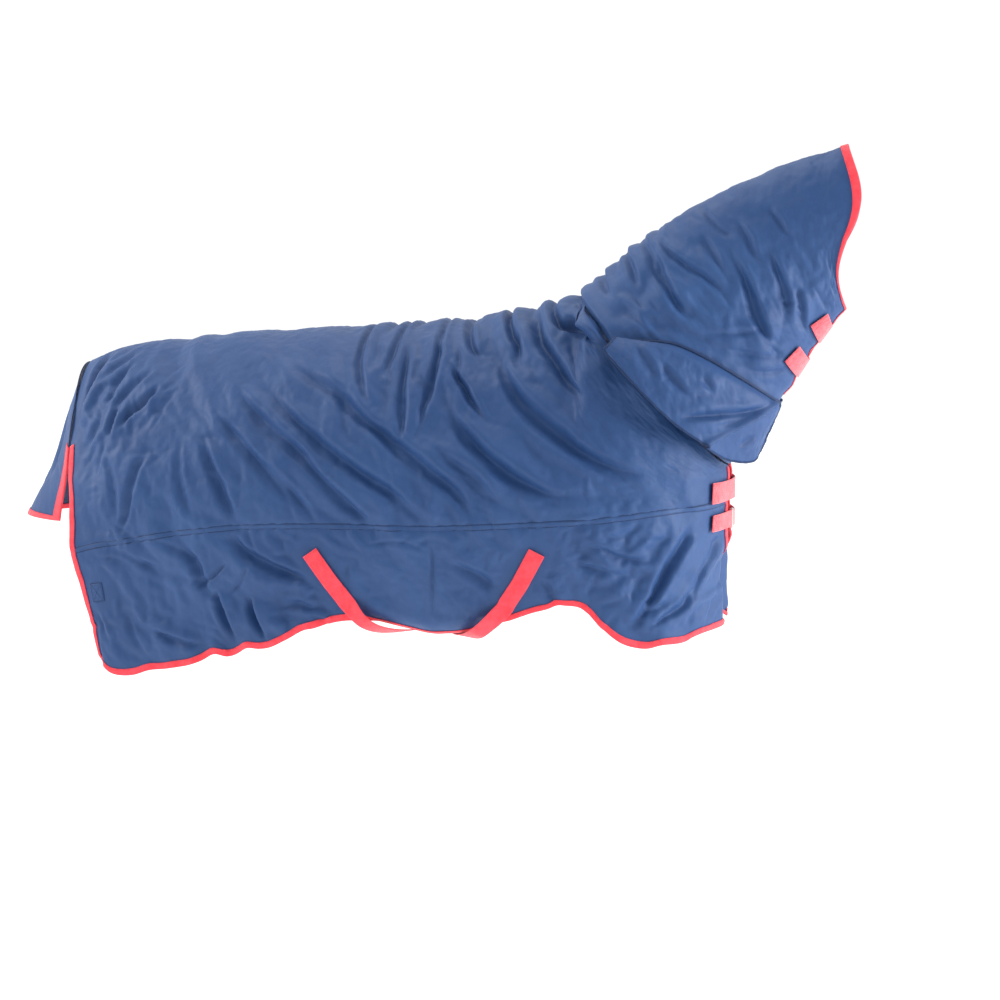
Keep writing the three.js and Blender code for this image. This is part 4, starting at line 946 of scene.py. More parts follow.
def cloth_material(name, dark, light, rough, sheen, wrinkle):
    material, tree, shader, place = new_material(name, rough, sheen=sheen, specular=0.36)
    shade = node(tree, "ShaderNodeMath", {
        0: noise(tree, place, 55, 4.0, 0.6), 1: 0.35, 2: noise(tree, place, 3.2, 4.0, 0.6),
    }, operation="MULTIPLY_ADD").outputs[0]
    join_inputs(tree, shader, {
        "Base Color": tint(tree, shade, dark, light, 0.5, 0.82),
        "Roughness": spread(tree, noise(tree, place, 24), rough - 0.07, rough + 0.09)})
    long = noise(tree, place, 17, 2.5, 0.5, stretch=(1.0, 1.0, 0.32), turn=0.75)
    small = noise(tree, place, 46, 3.0, 0.55, stretch=(1.0, 1.0, 0.5), turn=-0.5)
    bumped(tree, shader, [(long, 0.45 * wrinkle, 0.010), (small, 0.30 * wrinkle, 0.003),
                          (weave(tree, 0.0011), 0.10, 0.0003)])
    return material


def tape_material(name, dark, light, pitch, rough=0.72, strength=0.6, sheen=0.25):
    """Woven tape or webbing with ribs across its run."""
    material, tree, shader, place = new_material(name, rough, sheen=sheen, specular=0.3)
    blotch = tint(tree, noise(tree, place, 60, 4.0, 0.65), dark, light)
    join_inputs(tree, shader, {"Base Color": blotch})
    bumped(tree, shader, [(noise(tree, place, 70, 2.0), 0.25, 0.0015),
                          (weave(tree, pitch), strength, 0.0006)])
    return material


def metal_material(name, color, rough):
    material, tree, shader, place = new_material(name, rough, metal=1.0)
    cloud = noise(tree, place, 90, 5.0, 0.6)
    brushed = noise(tree, place, 120, 4.0, 0.6, stretch=(1, 8, 1))
    join_inputs(tree, shader, {
        "Base Color": tint(tree, cloud, tuple(c * 0.86 for c in color), color),
        "Roughness": spread(tree, brushed, rough - 0.08, rough + 0.14)})
    bumped(tree, shader, [(brushed, 0.12, 0.0002)])
    return material


def rubber_material(name):
    material, tree, shader, place = new_material(name, 0.62)
    dust = noise(tree, place, 140, 4.0)
    join_inputs(tree, shader, {
        "Base Color": tint(tree, dust, (0.012, 0.012, 0.013), (0.03, 0.03, 0.032))})
    bumped(tree, shader, [(dust, 0.2, 0.0003)])
    return material


mats = {
    "navy": cloth_material("navy_cloth", (0.0165, 0.055, 0.170), (0.024, 0.072, 0.206), 0.57,
                           0.03, 1.0),
    "lining": cloth_material("navy_lining", (0.022, 0.040, 0.098), (0.033, 0.056, 0.128), 0.6,
                             0.2, 0.5),
    # Darker navy that paints the shade of grooves: the side seam's edges, the flap seam's lap and the flap
    # piping.
    "seam": cloth_material("navy_painted_seam_shade", (0.007, 0.024, 0.082), (0.011, 0.034, 0.108), 0.66,
                           0.02, 0.3),
    "tape": tape_material("red_binding", (0.86, 0.044, 0.066), (0.98, 0.072, 0.100), 0.0016),
    "webbing": tape_material("red_webbing", (0.88, 0.050, 0.072), (0.98, 0.078, 0.108), 0.0021,
                             strength=0.8),
    "soft_strap": tape_material("red_strap", (0.80, 0.085, 0.110), (0.96, 0.150, 0.180),
                                0.0018, rough=0.85, sheen=0.6),
    "loop": tape_material("loop_tape", (0.62, 0.08, 0.10), (0.80, 0.13, 0.17), 0.0009,
                          rough=0.95, strength=1.0, sheen=0.7),
    "red_thread": tape_material("red_thread", (0.60, 0.030, 0.045), (0.72, 0.045, 0.06), 0.0008),
    "navy_thread": tape_material("navy_thread", (0.012, 0.030, 0.090), (0.020, 0.048, 0.13),
                                 0.0008, sheen=0.05),
    "steel": metal_material("nickel_steel", (0.74, 0.73, 0.70), 0.27),
    "rubber": rubber_material("black_rubber"),
}

# ------------------------------------------------------------------ body cloth

def spaced_rows(dense, fine, counts, splits):
    """Parameters down each column of a dense grid whose rows lie at the fine parameters.

    Between one split row and the next they give points at equal spacing, counts of them."""
    run = arc(dense)
    stops = np.empty((sum(counts) + 1, dense.shape[1]))
    for c in range(dense.shape[1]):
        at = run[list(splits), c]
        parts = [np.linspace(a, b, count + 1) for a, b, count in zip(at, at[1:], counts)]
        even_run = np.concatenate([parts[0], *(part[1:] for part in parts[1:])])
        stops[:, c] = np.interp(even_run, run[:, c], fine)
    return stops


def body_grid(cell):
    """The bare right side: points, normals, the seam's row and the rib at each column."""
    seam_length = arc(body_point(np.linspace(0, LAST_RIB, 400), 1.0))[-1]
    u = even(lambda t: body_point(t, 1.0), 0, LAST_RIB, int(seam_length / cell))
    fine = np.concatenate([np.linspace(0, 1, 260), np.linspace(1.004, 2, 140)])
    top_rows, low_rows = int(600 / cell), int(300 / cell)
    v = spaced_rows(body_point(u[None], fine[:, None]), fine, (top_rows, low_rows), (0, 259, -1))
    point = body_point(u[None], v)
    n = normals(point, lambda p: p * (0, 1, 0) + (0, 0, 400) + p * (0, 0, 1))
    spine = u <= WITHERS_RIB
    point[0, spine, 1] = 0
    n[0, spine, 1] = 0
    return {"point": point, "normal": unit(n), "seam": top_rows, "u": u, "spine": spine,
            "flank": int(top_rows * 0.45), "drop": arc(point)}


bare = body_grid(CELL)
routes = {name: strap_route(spec) for name, spec in SURCINGLES.items()}


def quiet(x, z):
    """1 on open cloth, 0 under straps and patches (x, z in metres)."""
    held = [(spec["panel"], 0.028, 0.062) for spec in SURCINGLES.values()]
    for height, wide in CHEST_STRAPS.values():
        held.append(([(CHEST_REACH - 8, height), (CHEST_EDGE + 20, height)],
                     wide * 0.0005 + 0.004, wide * 0.0005 + 0.03))
    x0, z0 = LEG_ANCHOR
    held.append(([(x0, z0 - 8), (x0, z0 + 8)], 0.03, 0.07))
    keep = np.ones_like(x)
    for line, near, far in held:
        line = np.array(line) * 0.001
        closest = np.full_like(x, 1e9)
        for a, b in zip(line, line[1:]):
            closest = np.minimum(closest, np.hypot(*beside(x, z, a, b)[1:]))
        keep = np.minimum(keep, smooth(near, far, closest))
    return keep


def body_height(grid, folds, seed):
    """How far the cloth stands off the bare side, in mm."""
    x, z = side_view(grid["point"])
    small = [fold for k, row in enumerate(BODY_CRUMPLES) for fold in crinkles(*row, seed + k)]
    height = folded(x, z, folds, 1.8) + folded(x, z, small, 1.2)
    height += 5 * drift(x, z, seed, 0.34) + 1.2 * drift(x, z, seed + 1, 0.11)
    height += creased(x, z, seed + 3)
    u = np.broadcast_to(grid["u"], x.shape)
    # The hem waves a little between the places where something holds it.
    below = grid["drop"] - grid["drop"][grid["seam"]][None]
    height += smooth(120, 300, below) * 9 * drift(x, z * 0.2, seed + 2, 0.24) * (u > 0.5)
    # The long seam draws the cloth in and puckers it.
    from_seam = np.abs(below)
    height -= 2.6 * bell(from_seam, 8.5)
    pucker = np.sin(x * 2 * np.pi / 0.034 + 3 * np.sin(x * 9)) * (0.5 + 0.5 * np.sin(x * 31))
    height += 1.0 * pucker * bell(from_seam - 16, 13)
    # The collar dips under the edge of the neck cover.
    collar = (u > 7.2) * bell(grid["drop"], 30)
    height = height * (1 - 0.65 * collar) - 4 * collar * smooth(7.2, 8.4, u)
    # Scallops where the gathers cross the spine.
    crossing = bell(grid["drop"], 70) * smooth(-0.46, -0.3, x)
    scallop = np.abs(np.sin(x * np.pi / 0.083 + 1.4 * np.sin(x * 17)))
    height += crossing * (15 * scallop ** 0.7 - 8) * smooth(0.2, 0.05, x)
    # Drawn straight where the tail flap is sewn on.
    keep = quiet(x, z) * np.maximum(smooth(2, 60, arc(grid["point"], 1)),
                                    smooth(-0.33, -0.38, z))
    return 24 * np.tanh(height / 24) * keep


MIRROR = np.array([1, -1, 1])
SIDES = {"right": np.ones(3), "left": MIRROR}


def rolled_edges(grid, point):
    """The hem rolled in under the belly, the front edge rolled back, and pleats in the hem."""
    x, z = grid["point"][..., 0], grid["point"][..., 2]
    to_hem = grid["drop"][-1:] - grid["drop"]
    run = arc(grid["point"], 1)
    to_front = run[:, -1:] - run
    belly = smooth(-365, -320, x) * smooth(0, -50, x) * np.clip(1 - to_hem / 42, 0, 1) ** 2
    behind = np.clip(1 - to_front / 60, 0, 1) ** 2 * smooth(-540, -600, z)
    under = (np.clip(1 - to_front / 30, 0, 1) ** 1.5 * smooth(-560, -615, z)
             * smooth(-755, -722, z))
    point = (point + belly[..., None] * (0, 32, 2) + behind[..., None] * (-8, 6, 0)
             + under[..., None] * (-32, 15, 0))
    kinks = sum(bell(x - place, wide) * lift for place, wide, lift in HEM_KINKS)
    return point + (kinks * smooth(130, 0, to_hem))[..., None] * (0, -0.6, 1)


def worn_sides(grid, heights, held, spare, seeds, limits=()):
    """Both sides of a cloth at given heights, crumpled and meeting along the spine."""
    spine, outward = grid["spine"], lambda p: grid["normal"]
    row = np.arange(len(held))[:, None]
    sides = {}
    for (side, turn), height, seed in zip(SIDES.items(), heights, seeds):
        point = grid["point"] + grid["normal"] * height[..., None]
        if "seam" in grid:
            point = rolled_edges(grid, point)
        n = normals(point, outward)
        mask = held
        if side == "left":
            point[:1] = first
            mask = held * smooth(0, 10, row)
        # The spine bends up and down but not sideways.
        n[0, spine, 1] = 0
        point = crumple(point, unit(n), mask, spare, seed, *limits)
        point[0, spine, 1] = 0
        first = point[:1]
        n = normals(point, outward)
        n[0, spine, 1] = 0
        n[0, spine] = unit(n[0, spine])
        sides[side] = point * turn, n * turn
    return sides


def inside(held, first_columns):
    """The share held, fading to 0 towards the grid's front, lower and rear edges."""
    rows, columns = held.shape
    row, column = np.arange(rows)[:, None], np.arange(columns)[None]
    return (held * smooth(*first_columns, column) * smooth(columns - 4, columns - 12, column)
            * smooth(rows - 4, rows - 12, row))


def body_sides(grid):
    right = body_height(grid, laid_out(BODY_FOLDS), 11)
    left = body_height(grid, shifted(laid_out(BODY_FOLDS), 5), 43)
    middle = 0.8 * right[:1] + 0.2 * left[:1]
    apart = np.maximum(smooth(0, 110, grid["drop"]),
                       smooth(WITHERS_RIB - 0.05, WITHERS_RIB + 0.8, grid["u"])[None])
    heights = [middle + (side - middle) * apart for side in (right, left)]
    x, z = side_view(grid["point"])
    below = np.abs(grid["drop"] - grid["drop"][grid["seam"]][None])
    held = inside(smooth(4, 34, below), (3, 12)) * smooth(0, 1, quiet(x, z))
    return worn_sides(grid, heights, held, BODY_SPARE, (4, 8))


def two_sided(name, grid, sides, lift, rows, material, inward=False):
    """One sheet over both sides, lifted off the lining's face and welded along the spine."""
    grids = [p[rows] + n[rows] * lift for p, n in (sides["right"], sides["left"])]
    height, columns = grids[0].shape[:2]
    count = height * columns
    points = np.concatenate([g.reshape(-1, 3) for g in grids])
    shared = np.arange(2 * count)
    shared[count:count + columns][grid["spine"]] = np.arange(columns)[grid["spine"]]
    faces = shared[np.concatenate([quads(height, columns), quads(height, columns, True, count)])]
    n = sides["right"][1][rows] * (-1 if inward else 1)
    faces = faces_out(points, faces, n, len(faces) // 4)
    used = np.unique(faces)
    renumber = np.full(len(points), -1)
    renumber[used] = np.arange(len(used))
    uv = np.concatenate([grid_uv(g).reshape(-1, 2) for g in grids])
    return make(name, points[used], renumber[faces], mats[material], "root", uv[used])


body = body_sides(bare)
SEAM_ROW = bare["seam"]
back_cloth = two_sided("back_cloth", bare, body, CLOTH_LIFT, slice(0, SEAM_ROW + 1), "navy")
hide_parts("back_panel")
body_lining = two_sided("body_lining_cloth", bare, body, 0.0, slice(None), "lining",
                        inward=True)
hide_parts("body_lining")

for side, (points, n) in body.items():
    sheet = points[SEAM_ROW:] + n[SEAM_ROW:] * CLOTH_LIFT
    make(f"side_cloth_{side}", sheet, sheet_faces(sheet, n[SEAM_ROW:]),
                             mats["navy"], "root", grid_uv(sheet))
    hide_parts(f"side_panel_{side}")

    # Lapped side seam with its two rows of stitches, and along each edge of the lap a thin strip of darker
    # navy: painted shade of the groove there.
    seam, seam_n = points[SEAM_ROW, 2:-3], n[SEAM_ROW, 2:-3]
    lap = ribbon(f"side_seam_lap_{side}", seam + seam_n * (CLOTH_LIFT + 0.1), seam_n, 10.5, 1.3,
                 mats["navy"], "root", "navy_cloth", swell=0.5)
    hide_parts(f"side_seam_{side}")
    across = unit(np.cross(np.gradient(seam, axis=0), seam_n))
    for k, sign in enumerate((-1, 1)):
        ribbon(f"side_seam_shade_strip_{side}_{k}", seam + across * sign * 5.4
               + seam_n * (CLOTH_LIFT + 0.1), seam_n, 4.2, 1.1, mats["seam"], "root",
               "navy_cloth", swell=0)
        stitches(f"side_seam_stitches_{side}_{k}", seam + across * sign * 3.4
                 + seam_n * (CLOTH_LIFT + 1.75), seam_n, mats["navy_thread"], "root")

    # One binding down the rear edge, along the hem and up the front edge.
    rows, columns = points.shape[:2]
    down = np.arange(6, rows - BINDING_CELLS)
    tape = bind_grid(f"edge_binding_{side}", points, n, edge_places(
        rows, columns, down[points[down, 0, 2] < SLIT_TOP], down))
    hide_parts(f"hem_binding_{side}", f"rear_binding_{side}", f"front_binding_{side}")

# ------------------------------------------------------------------ neck cover

def neck_grid(cell):
    """The bare right side of the neck cover, from the crest down to the throat."""
    along = even(lambda t: neck_point(t, 0.45), 0.03, 6, int(880 / cell))
    fine = np.linspace(0, 1, 300)
    around = spaced_rows(neck_point(along[None], fine[:, None]), fine, (int(430 / cell),), (0, -1))
    point = neck_point(along[None], around)
    n = normals(point, lambda p: p * (0, 1, 0) + (0, 0, 1e-3))
    point[0, :, 1] = 0
    n[0, :, 1] = 0
    n[0] = unit(n[0] * np.sign(n[0, :, 2:]))
    return {"point": point, "normal": n, "along": along, "around": around,
            "spine": np.ones(len(along), bool), "drop": arc(point)}


def from_strap(along, around, place):
    """1 on open cloth, 0 under a neck strap's patch at a place along the neck."""
    return smooth(38, 74, np.hypot((along - place) * 105, (around - 0.9) * 330))


def neck_height(grid, folds, seed):
    """How far the cloth stands off the bare side of the neck, in mm."""
    x, z = side_view(grid["point"])
    along, around = np.broadcast_to(grid["along"], x.shape), grid["around"]
    # The cloth lies smooth high on the neck.
    loose = 1 - 0.85 * np.exp(-((x - 0.60) ** 2 + (z - 0.24) ** 2) / 0.15 ** 2)
    height = folded(x, z, folds, 1.7) + 0.8 * loose * creased(x, z, seed + 3)
    height += loose * folded(x, z, crinkles(*NECK_CRUMPLES, seed))
    height += folded(x, z, crinkles(*THROAT_CRUMPLES, seed + 1))
    height += 2.6 * drift(x, z, seed, 0.28) * smooth(6, 5, along)
    # The crest bunches up towards the withers.
    bunch = smooth(3.2, 0.6, along) * bell(grid["drop"], 85)
    height += bunch * (13 * np.abs(np.sin(x * np.pi / 0.062 + 1.1 * np.sin(x * 23))) ** 0.7 - 7)
    # Its rear edge rolls up over the collar of the body cloth.
    lip = bell(along - 0.16, 0.17) * smooth(0.5, 0.38, around)
    height = height * (1 - 0.6 * lip) + 13 * lip
    height -= smooth(0.13, 0.03, along) * smooth(0.75, 0.6, around) * (height + 9)
    # Held flat by the straps, the face opening and the seam of the flap.
    keep = smooth(5.95, 5.55, along)
    for place in NECK_STRAPS.values():
        keep = np.minimum(keep, from_strap(along, around, place))
    k = np.linspace(0, len(FLAP) - 1, 60)
    gap = np.full_like(x, 1e9)
    for p in neck_point(*np.moveaxis(catmull(FLAP[:, :2], k), -1, 0)) * 0.001:
        gap = np.minimum(gap, np.hypot(x - p[0], z - p[2]))
    keep = np.minimum(keep, 0.25 + 0.75 * smooth(0.008, 0.035, gap))
    under = smooth(1.9, 1.2, along) * smooth(0.42, 0.55, around)
    height = np.where(under > 0, height - under * (height + 5), height)
    return 17 * np.tanh(height / 17) * keep


def neck_sides(grid):
    right = neck_height(grid, laid_out(NECK_FOLDS), 3)
    left = neck_height(grid, shifted(laid_out(NECK_FOLDS), 21), 9)
    apart = smooth(0, 80, grid["drop"])
    crest = 0.5 * (right[:1] + left[:1])
    held = inside(np.ones(right.shape), (5, 16))
    for place in NECK_STRAPS.values():
        held = held * from_strap(grid["along"][None], grid["around"], place)
    heights = [crest + (side - crest) * apart for side in (right, left)]
    return worn_sides(grid, heights, held, NECK_SPARE, (14, 18), (6, 10))


bare_neck = neck_grid(CELL)
neck = neck_sides(bare_neck)
neck_cloth = two_sided("neck_cloth", bare_neck, neck, CLOTH_LIFT, slice(None), "navy")
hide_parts("neck_panel")
neck_lining = two_sided("neck_lining_cloth", bare_neck, neck, 0.0, slice(None), "lining",
                        inward=True)
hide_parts("neck_lining")

# The face opening's binding runs up the left side, over the crest and down the right.
face = [np.concatenate([neck["left"][k][:0:-1, column], neck["right"][k][:, column]])
        for column in (-1, -3 - BINDING_CELLS) for k in (0, 1)]
tape, _ = bound("face_opening_binding", "face_opening_stitches", *face)
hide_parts("face_binding")
throat_from = int(np.searchsorted(bare_neck["along"], 1.75))
for side, (points, n) in neck.items():
    rows, columns = points.shape[:2]
    tape = bind_grid(f"throat_edge_binding_{side}", points, n, edge_places(
        rows, columns, low=range(throat_from, columns - 4)))
    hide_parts(f"throat_binding_{side}")

# ------------------------------------------------------------------ neck flaps

def flap_grid(cell):
    """The bare right flap: points, normals and shares from its seam to its free edge."""
    k = even(lambda t: flap_point(t, 0.5 + 0 * t), 0, len(FLAP) - 1, int(560 / cell))
    t = np.linspace(0, 1, int(170 / cell))[:, None] + 0 * k[None]
    lift = FLAP_SEAM_LIFT + (FLAP_LIFT - FLAP_SEAM_LIFT) * smooth(0, 0.16, t)
    point = flap_point(k[None] + 0 * t, t, lift)
    return point, normals(point, flap_out), t


def flap_out(p):
    return p * (0, 1, 0) - (0, 1, 0)


def piped_edge(name, edge, edge_n, away):
    """A self-colour cord piped into an edge, made in the darker navy that paints the shade along it."""
    angles = np.linspace(0, 2 * np.pi, 9)[:-1]
    ring = np.stack([np.cos(angles) * 2.3, np.sin(angles) * 2.3], -1)
    sections = (edge[:, None] + away[:, None] * (ring[None, :, :1] + 1.6)
                + edge_n[:, None] * (ring[None, :, 1:] + 0.9))
    return swept(name, edge, sections, angles * 0.002, mats["seam"], None)


def flap_height(x, z, t, folds, seed):
    """How far a flap stands off its bare shape, and the distance beyond its main fold."""
    height = folded(x, z, folds, 2.2) + folded(x, z, crinkles(*FLAP_CRUMPLES, seed))
    height += 2.2 * drift(x, z, seed, 0.16)
    (x0, z0), (sx, sz) = FLAP_FOLD_AT, FLAP_FOLD_SLOPE
    beyond = ((x - x0) * sx - (z - z0) * sz) / math.hypot(sx / 1000, sz / 1000)
    # Beyond its main fold the corner turns under.
    fold = 9 + 9 * bell(beyond + 3, 6) - 17 * smooth(-2, 7, beyond)
    fold -= 0.24 * np.clip(beyond - 6, 0, 70)
    fold += 0.06 * smooth(0, 14, beyond) * np.clip(x * 1000 - 440, 0, 150)
    return (13 * np.tanh(height / 13) + fold) * smooth(0, 0.14, t), beyond


flap_bare, flap_n, flap_t = flap_grid(FLAP_CELL)
for (side, turn), seed in zip(SIDES.items(), (2, 31)):
    folds = laid_out(FLAP_FOLDS) if side == "right" else shifted(laid_out(FLAP_FOLDS), 8)
    height, beyond = flap_height(*side_view(flap_bare), flap_t, folds, seed)
    free = smooth(0.02, 0.2, flap_t) * smooth(3, 18, np.abs(beyond))
    points = crumple(flap_bare + flap_n * height[..., None], flap_n, free, FLAP_SPARE, seed, 5, 7)
    n = normals(points, lambda p: flap_n)
    points, n = points * turn, n * turn
    flap = shell(f"neck_flap_cloth_{side}", points, n, 0, 1.7)
    edge, edge_n, within = (
        np.concatenate([table[1:, k], table[-1 - k, 1:-1], table[:0:-1, -1 - k]])
        for table, k in ((points, 0), (n, 0), (points, 2)))
    pipe = piped_edge(f"neck_flap_piping_{side}", edge, edge_n, unit(edge - within))
    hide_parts(f"neck_flap_{side}")
    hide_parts(f"neck_flap_piping_{side}")
    # The flap bends just below the seam that holds it.
    for piece in (flap, pipe):
        start = np.array([0.392, -0.218, -0.085]) * turn
        end = np.array([0.385, -0.240, -0.125]) * turn
        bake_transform(piece, "root", f"neck_flap_{side}", start, end)

    # The seam that holds it: a flat lap in darker navy, painted shade of the seam's groove, with two rows of
    # stitches.
    k = np.linspace(0.02, len(FLAP) - 1, 90)
    lap = np.stack([flap_point(k, t + 0 * k, 6.4 + 0 * k) for t in (0, 0.05)])
    lap_n = normals(lap, flap_out)[0] * turn
    root = lap[0] * turn
    ribbon(f"neck_flap_seam_{side}", root + lap_n * 0.4, lap_n, 5, 1.3, mats["seam"], "root",
           "navy_cloth", swell=0.5)
    across = unit(np.cross(np.gradient(root, axis=0), lap_n))
    for number, sign in enumerate((-1, 1)):
        stitches(f"neck_flap_seam_stitches_{side}_{number}", root + across * sign * 3
                 + lap_n * 2.1, lap_n, mats["navy_thread"], "root")

# ------------------------------------------------------------------ tail flap

def tail_out(p):
    return p * 0 + (-1, 0, 0.3)


rows, columns = int(430 / CELL), int(330 / CELL)
r, across = np.meshgrid(np.linspace(0, 4, rows), np.linspace(-1, 1, columns), indexing="ij")
tail_bare = tail_point(r, across)
y, z = tail_bare[..., 1] * 0.001, tail_bare[..., 2] * 0.001
height = folded(y, z, laid_out(TAIL_FOLDS)) + folded(y, z, crinkles(*TAIL_CRUMPLES, 17))
height += 5 * drift(y, z, 6, 0.2) * smooth(0, 1.2, r)
height *= smooth(0, 0.5, r)
tail = tail_bare + normals(tail_bare, tail_out) * height[..., None]
tail_n = normals(tail, tail_out)
tail_cloth = shell("tail_flap_cloth", tail, tail_n, CLOTH_LIFT - 0.6, CLOTH_LIFT)
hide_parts("tail_flap_panel")
tail_lining = make("tail_flap_lining_cloth", tail, sheet_faces(tail, -tail_n), mats["lining"],
                   None, grid_uv(tail))
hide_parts("tail_flap_lining")
down = np.arange(np.searchsorted(-tail_bare[:, 0, 2], -SLIT_TOP), rows - BINDING_CELLS)
edge, inner = edge_places(rows, columns, down, down)
tail_tape, tail_rows = bound("tail_flap_edge_binding", "tail_flap_stitches", tail[edge],
                             tail_n[edge], tail[inner], tail_n[inner], None)
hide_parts("tail_flap_binding")
for piece in (tail_cloth, tail_lining, tail_tape, tail_rows):
    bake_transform(piece, "root", "tail_flap", (-1.174, 0, -0.150), (-1.195, 0, -0.330))

# ------------------------------------------------------------------ surcingles

def bevelled(node_name, material, width):
    """A copy of a CAD mesh with softened edges, in place of the sharp one."""
    source = frame["nodes"][node_name]
    copy = source.copy()
    copy.data = source.data.copy()
    copy.name = f"{node_name}_finish"
    copy.parent = None
    copy.matrix_world = source.matrix_world.copy()
    for key in list(copy.keys()):
        if key.startswith("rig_"):
            del copy[key]
    bpy.context.scene.collection.objects.link(copy)
    weld = copy.modifiers.new("weld", "WELD")
    weld.merge_threshold = 0.00002
    bevel = copy.modifiers.new("bevel", "BEVEL")
    bevel.width = width
    bevel.segments = 2
    bevel.limit_method = "ANGLE"
    bevel.harden_normals = False
    graph = bpy.context.evaluated_depsgraph_get()
    mesh = bpy.data.meshes.new_from_object(copy.evaluated_get(graph))
    copy.modifiers.clear()
    copy.data = mesh
    mesh.materials.clear()
    mesh.materials.append(mats[material])
    for polygon in mesh.polygons:
        polygon.use_smooth = True
        polygon.material_index = 0
    with bpy.context.temp_override(active_object=copy, object=copy, selected_objects=[copy]):
        bpy.ops.object.shade_smooth_by_angle(angle=math.radians(35))
    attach(copy, body_of(source)[0])
    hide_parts(node_name)


def from_barrel(p):
    return unit(p * (0, 1, 1) - (0, 0, BARREL_Z))


for name in SURCINGLES:
    mate = routes["front" if name == "rear" else "rear"]
    panel_line, panel_out = follow(routes[name], np.linspace(0, 1, 70))
    middle = panel_line[-1]
    ahead = unit(follow(mate, MATE_SHARE)[0] * MIRROR - middle)

    def reach(y):
        return middle + ahead * y / ahead[1]

    free = np.array([reach(y) for y in np.linspace(4, END_Y, 26)])
    outs = np.concatenate([panel_out, [from_barrel(p) for p in free]])
    # Past the hinge line the band is flat, as its loose end is.
    turn_at = reach(HINGE_Y)
    side = unit(np.cross(ahead, from_barrel(turn_at)))
    flat = unit(np.cross(side, ahead))
    beyond = smooth(20, HINGE_Y, free[:, 1])[:, None]
    loose = slice(len(panel_line), None)
    outs[loose] = unit(outs[loose] * (1 - beyond) + flat * beyond)
    line = np.concatenate([panel_line, free])
    band = ribbon(f"surcingle_{name}_band", line, outs, WEBBING, WEBBING_THICK, mats["webbing"],
                  None, "red_webbing")
    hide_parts(f"surcingle_{name}_webbing", f"surcingle_{name}_end")
    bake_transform(band, "root", f"surcingle_{name}_end", (turn_at - ahead * 16) * 0.001,
             (turn_at + ahead * 16) * 0.001)
    box_stitch(f"surcingle_{name}_box_stitch", line[1:10], outs[1:10], WEBBING, THREAD_LIFT)
    stitches(f"surcingle_{name}_end_stitch", np.linspace(
        line[-2] - side * 17, line[-2] + side * 17, 14) + flat * THREAD_LIFT,
        np.repeat(flat[None], 14, 0), mats["red_thread"], f"surcingle_{name}_end")

    for part, finish, edge in (("hook", "steel", 0.0005), ("slot_plate", "steel", 0.0005),
                               ("slider", "steel", 0.0005), ("keeper", "rubber", 0.0006)):
        bevelled(f"surcingle_{name}_{part}", finish, edge)

    # The tab on the left side: down its panel, then straight to the slot plate.
    tab, tab_out = follow(mate, np.linspace(0, TAB_SHARE, 52))
    tab, tab_out = tab * MIRROR, tab_out * MIRROR
    plate = reach(END_Y) + ahead * HOOK_TO_PLATE - flat * PLATE_DROP
    bridge = tab[-1] + (plate - tab[-1]) * np.linspace(0, 1, 12)[1:, None]
    tab_line = np.concatenate([tab, bridge])
    tab_outs = np.concatenate([tab_out, [from_barrel(p) for p in bridge]])
    piece = ribbon(f"surcingle_{name}_tab_band", tab_line, tab_outs, WEBBING, WEBBING_THICK,
                   mats["webbing"], "root", "red_webbing")
    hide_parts(f"surcingle_{name}_tab")
    box_stitch(f"surcingle_{name}_tab_box_stitch", tab_line[1:10], tab_outs[1:10], WEBBING,
               THREAD_LIFT)

# ------------------------------------------------------------------ throat and chest straps

def softened(outs, times):
    for _ in range(times):
        outs[1:-1] = unit(outs[:-2] + 2 * outs[1:-1] + outs[2:])
    return outs


def hook_and_loop(name, wide, line, outs, bend, anchor, tip, pad, pad_wide):
    """A strap sewn on at one end (anchor), hinged at bend, and its loop patch (pad)."""
    kind, place = name.split("_")
    strap_body = f"{kind}_strap_{place}"
    band = ribbon(f"{name}_strap_band", line, outs, wide, WEBBING_THICK, mats["soft_strap"],
                  None, "red_webbing")
    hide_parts(f"{name}_strap", f"{name}_strap_anchor")
    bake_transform(band, "root", strap_body, bend[0] * 0.001, bend[1] * 0.001)
    box_stitch(f"{name}_anchor_stitch", *anchor, wide, THREAD_LIFT)
    box_stitch(f"{name}_tip_stitch", line[tip], outs[tip], wide, THREAD_LIFT, strap_body)
    patch = ribbon(f"{name}_loop_pad", *pad, pad_wide, 1.7, mats["loop"], "root", "loop_tape")
    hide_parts(f"{name}_loop_patch")


for name, along in NECK_STRAPS.items():
    left, left_out = off_neck(along, np.linspace(0.86, 1, 22), THROAT_LIFT)
    right, right_out = off_neck(along, np.linspace(1, 0.805, 28), THROAT_LIFT)
    line = np.concatenate([left * MIRROR, right])
    # The strap rounds the throat in a smooth bow between the two edges.
    outs = softened(np.concatenate([left_out * MIRROR, right_out]), 6)
    bend = [off_neck(along, np.array(around), THROAT_LIFT)[0] * MIRROR
            for around in (0.905, 0.945)]
    hook_and_loop(name, NECK_STRAP, line, outs, bend, (line[1:7], outs[1:7]), slice(-6, -1),
                  off_neck(along, np.linspace(0.875, 0.933, 10), THROAT_PAD_LIFT),
                  NECK_STRAP - 8)


def chest_stops(z, x0, x1, lift, count):
    points, outs = np.moveaxis(np.array([on_body(x, z) for x in np.linspace(x0, x1, count)]),
                               1, 0)
    outs = softened(outs.copy(), 4)
    return points + outs * lift, outs


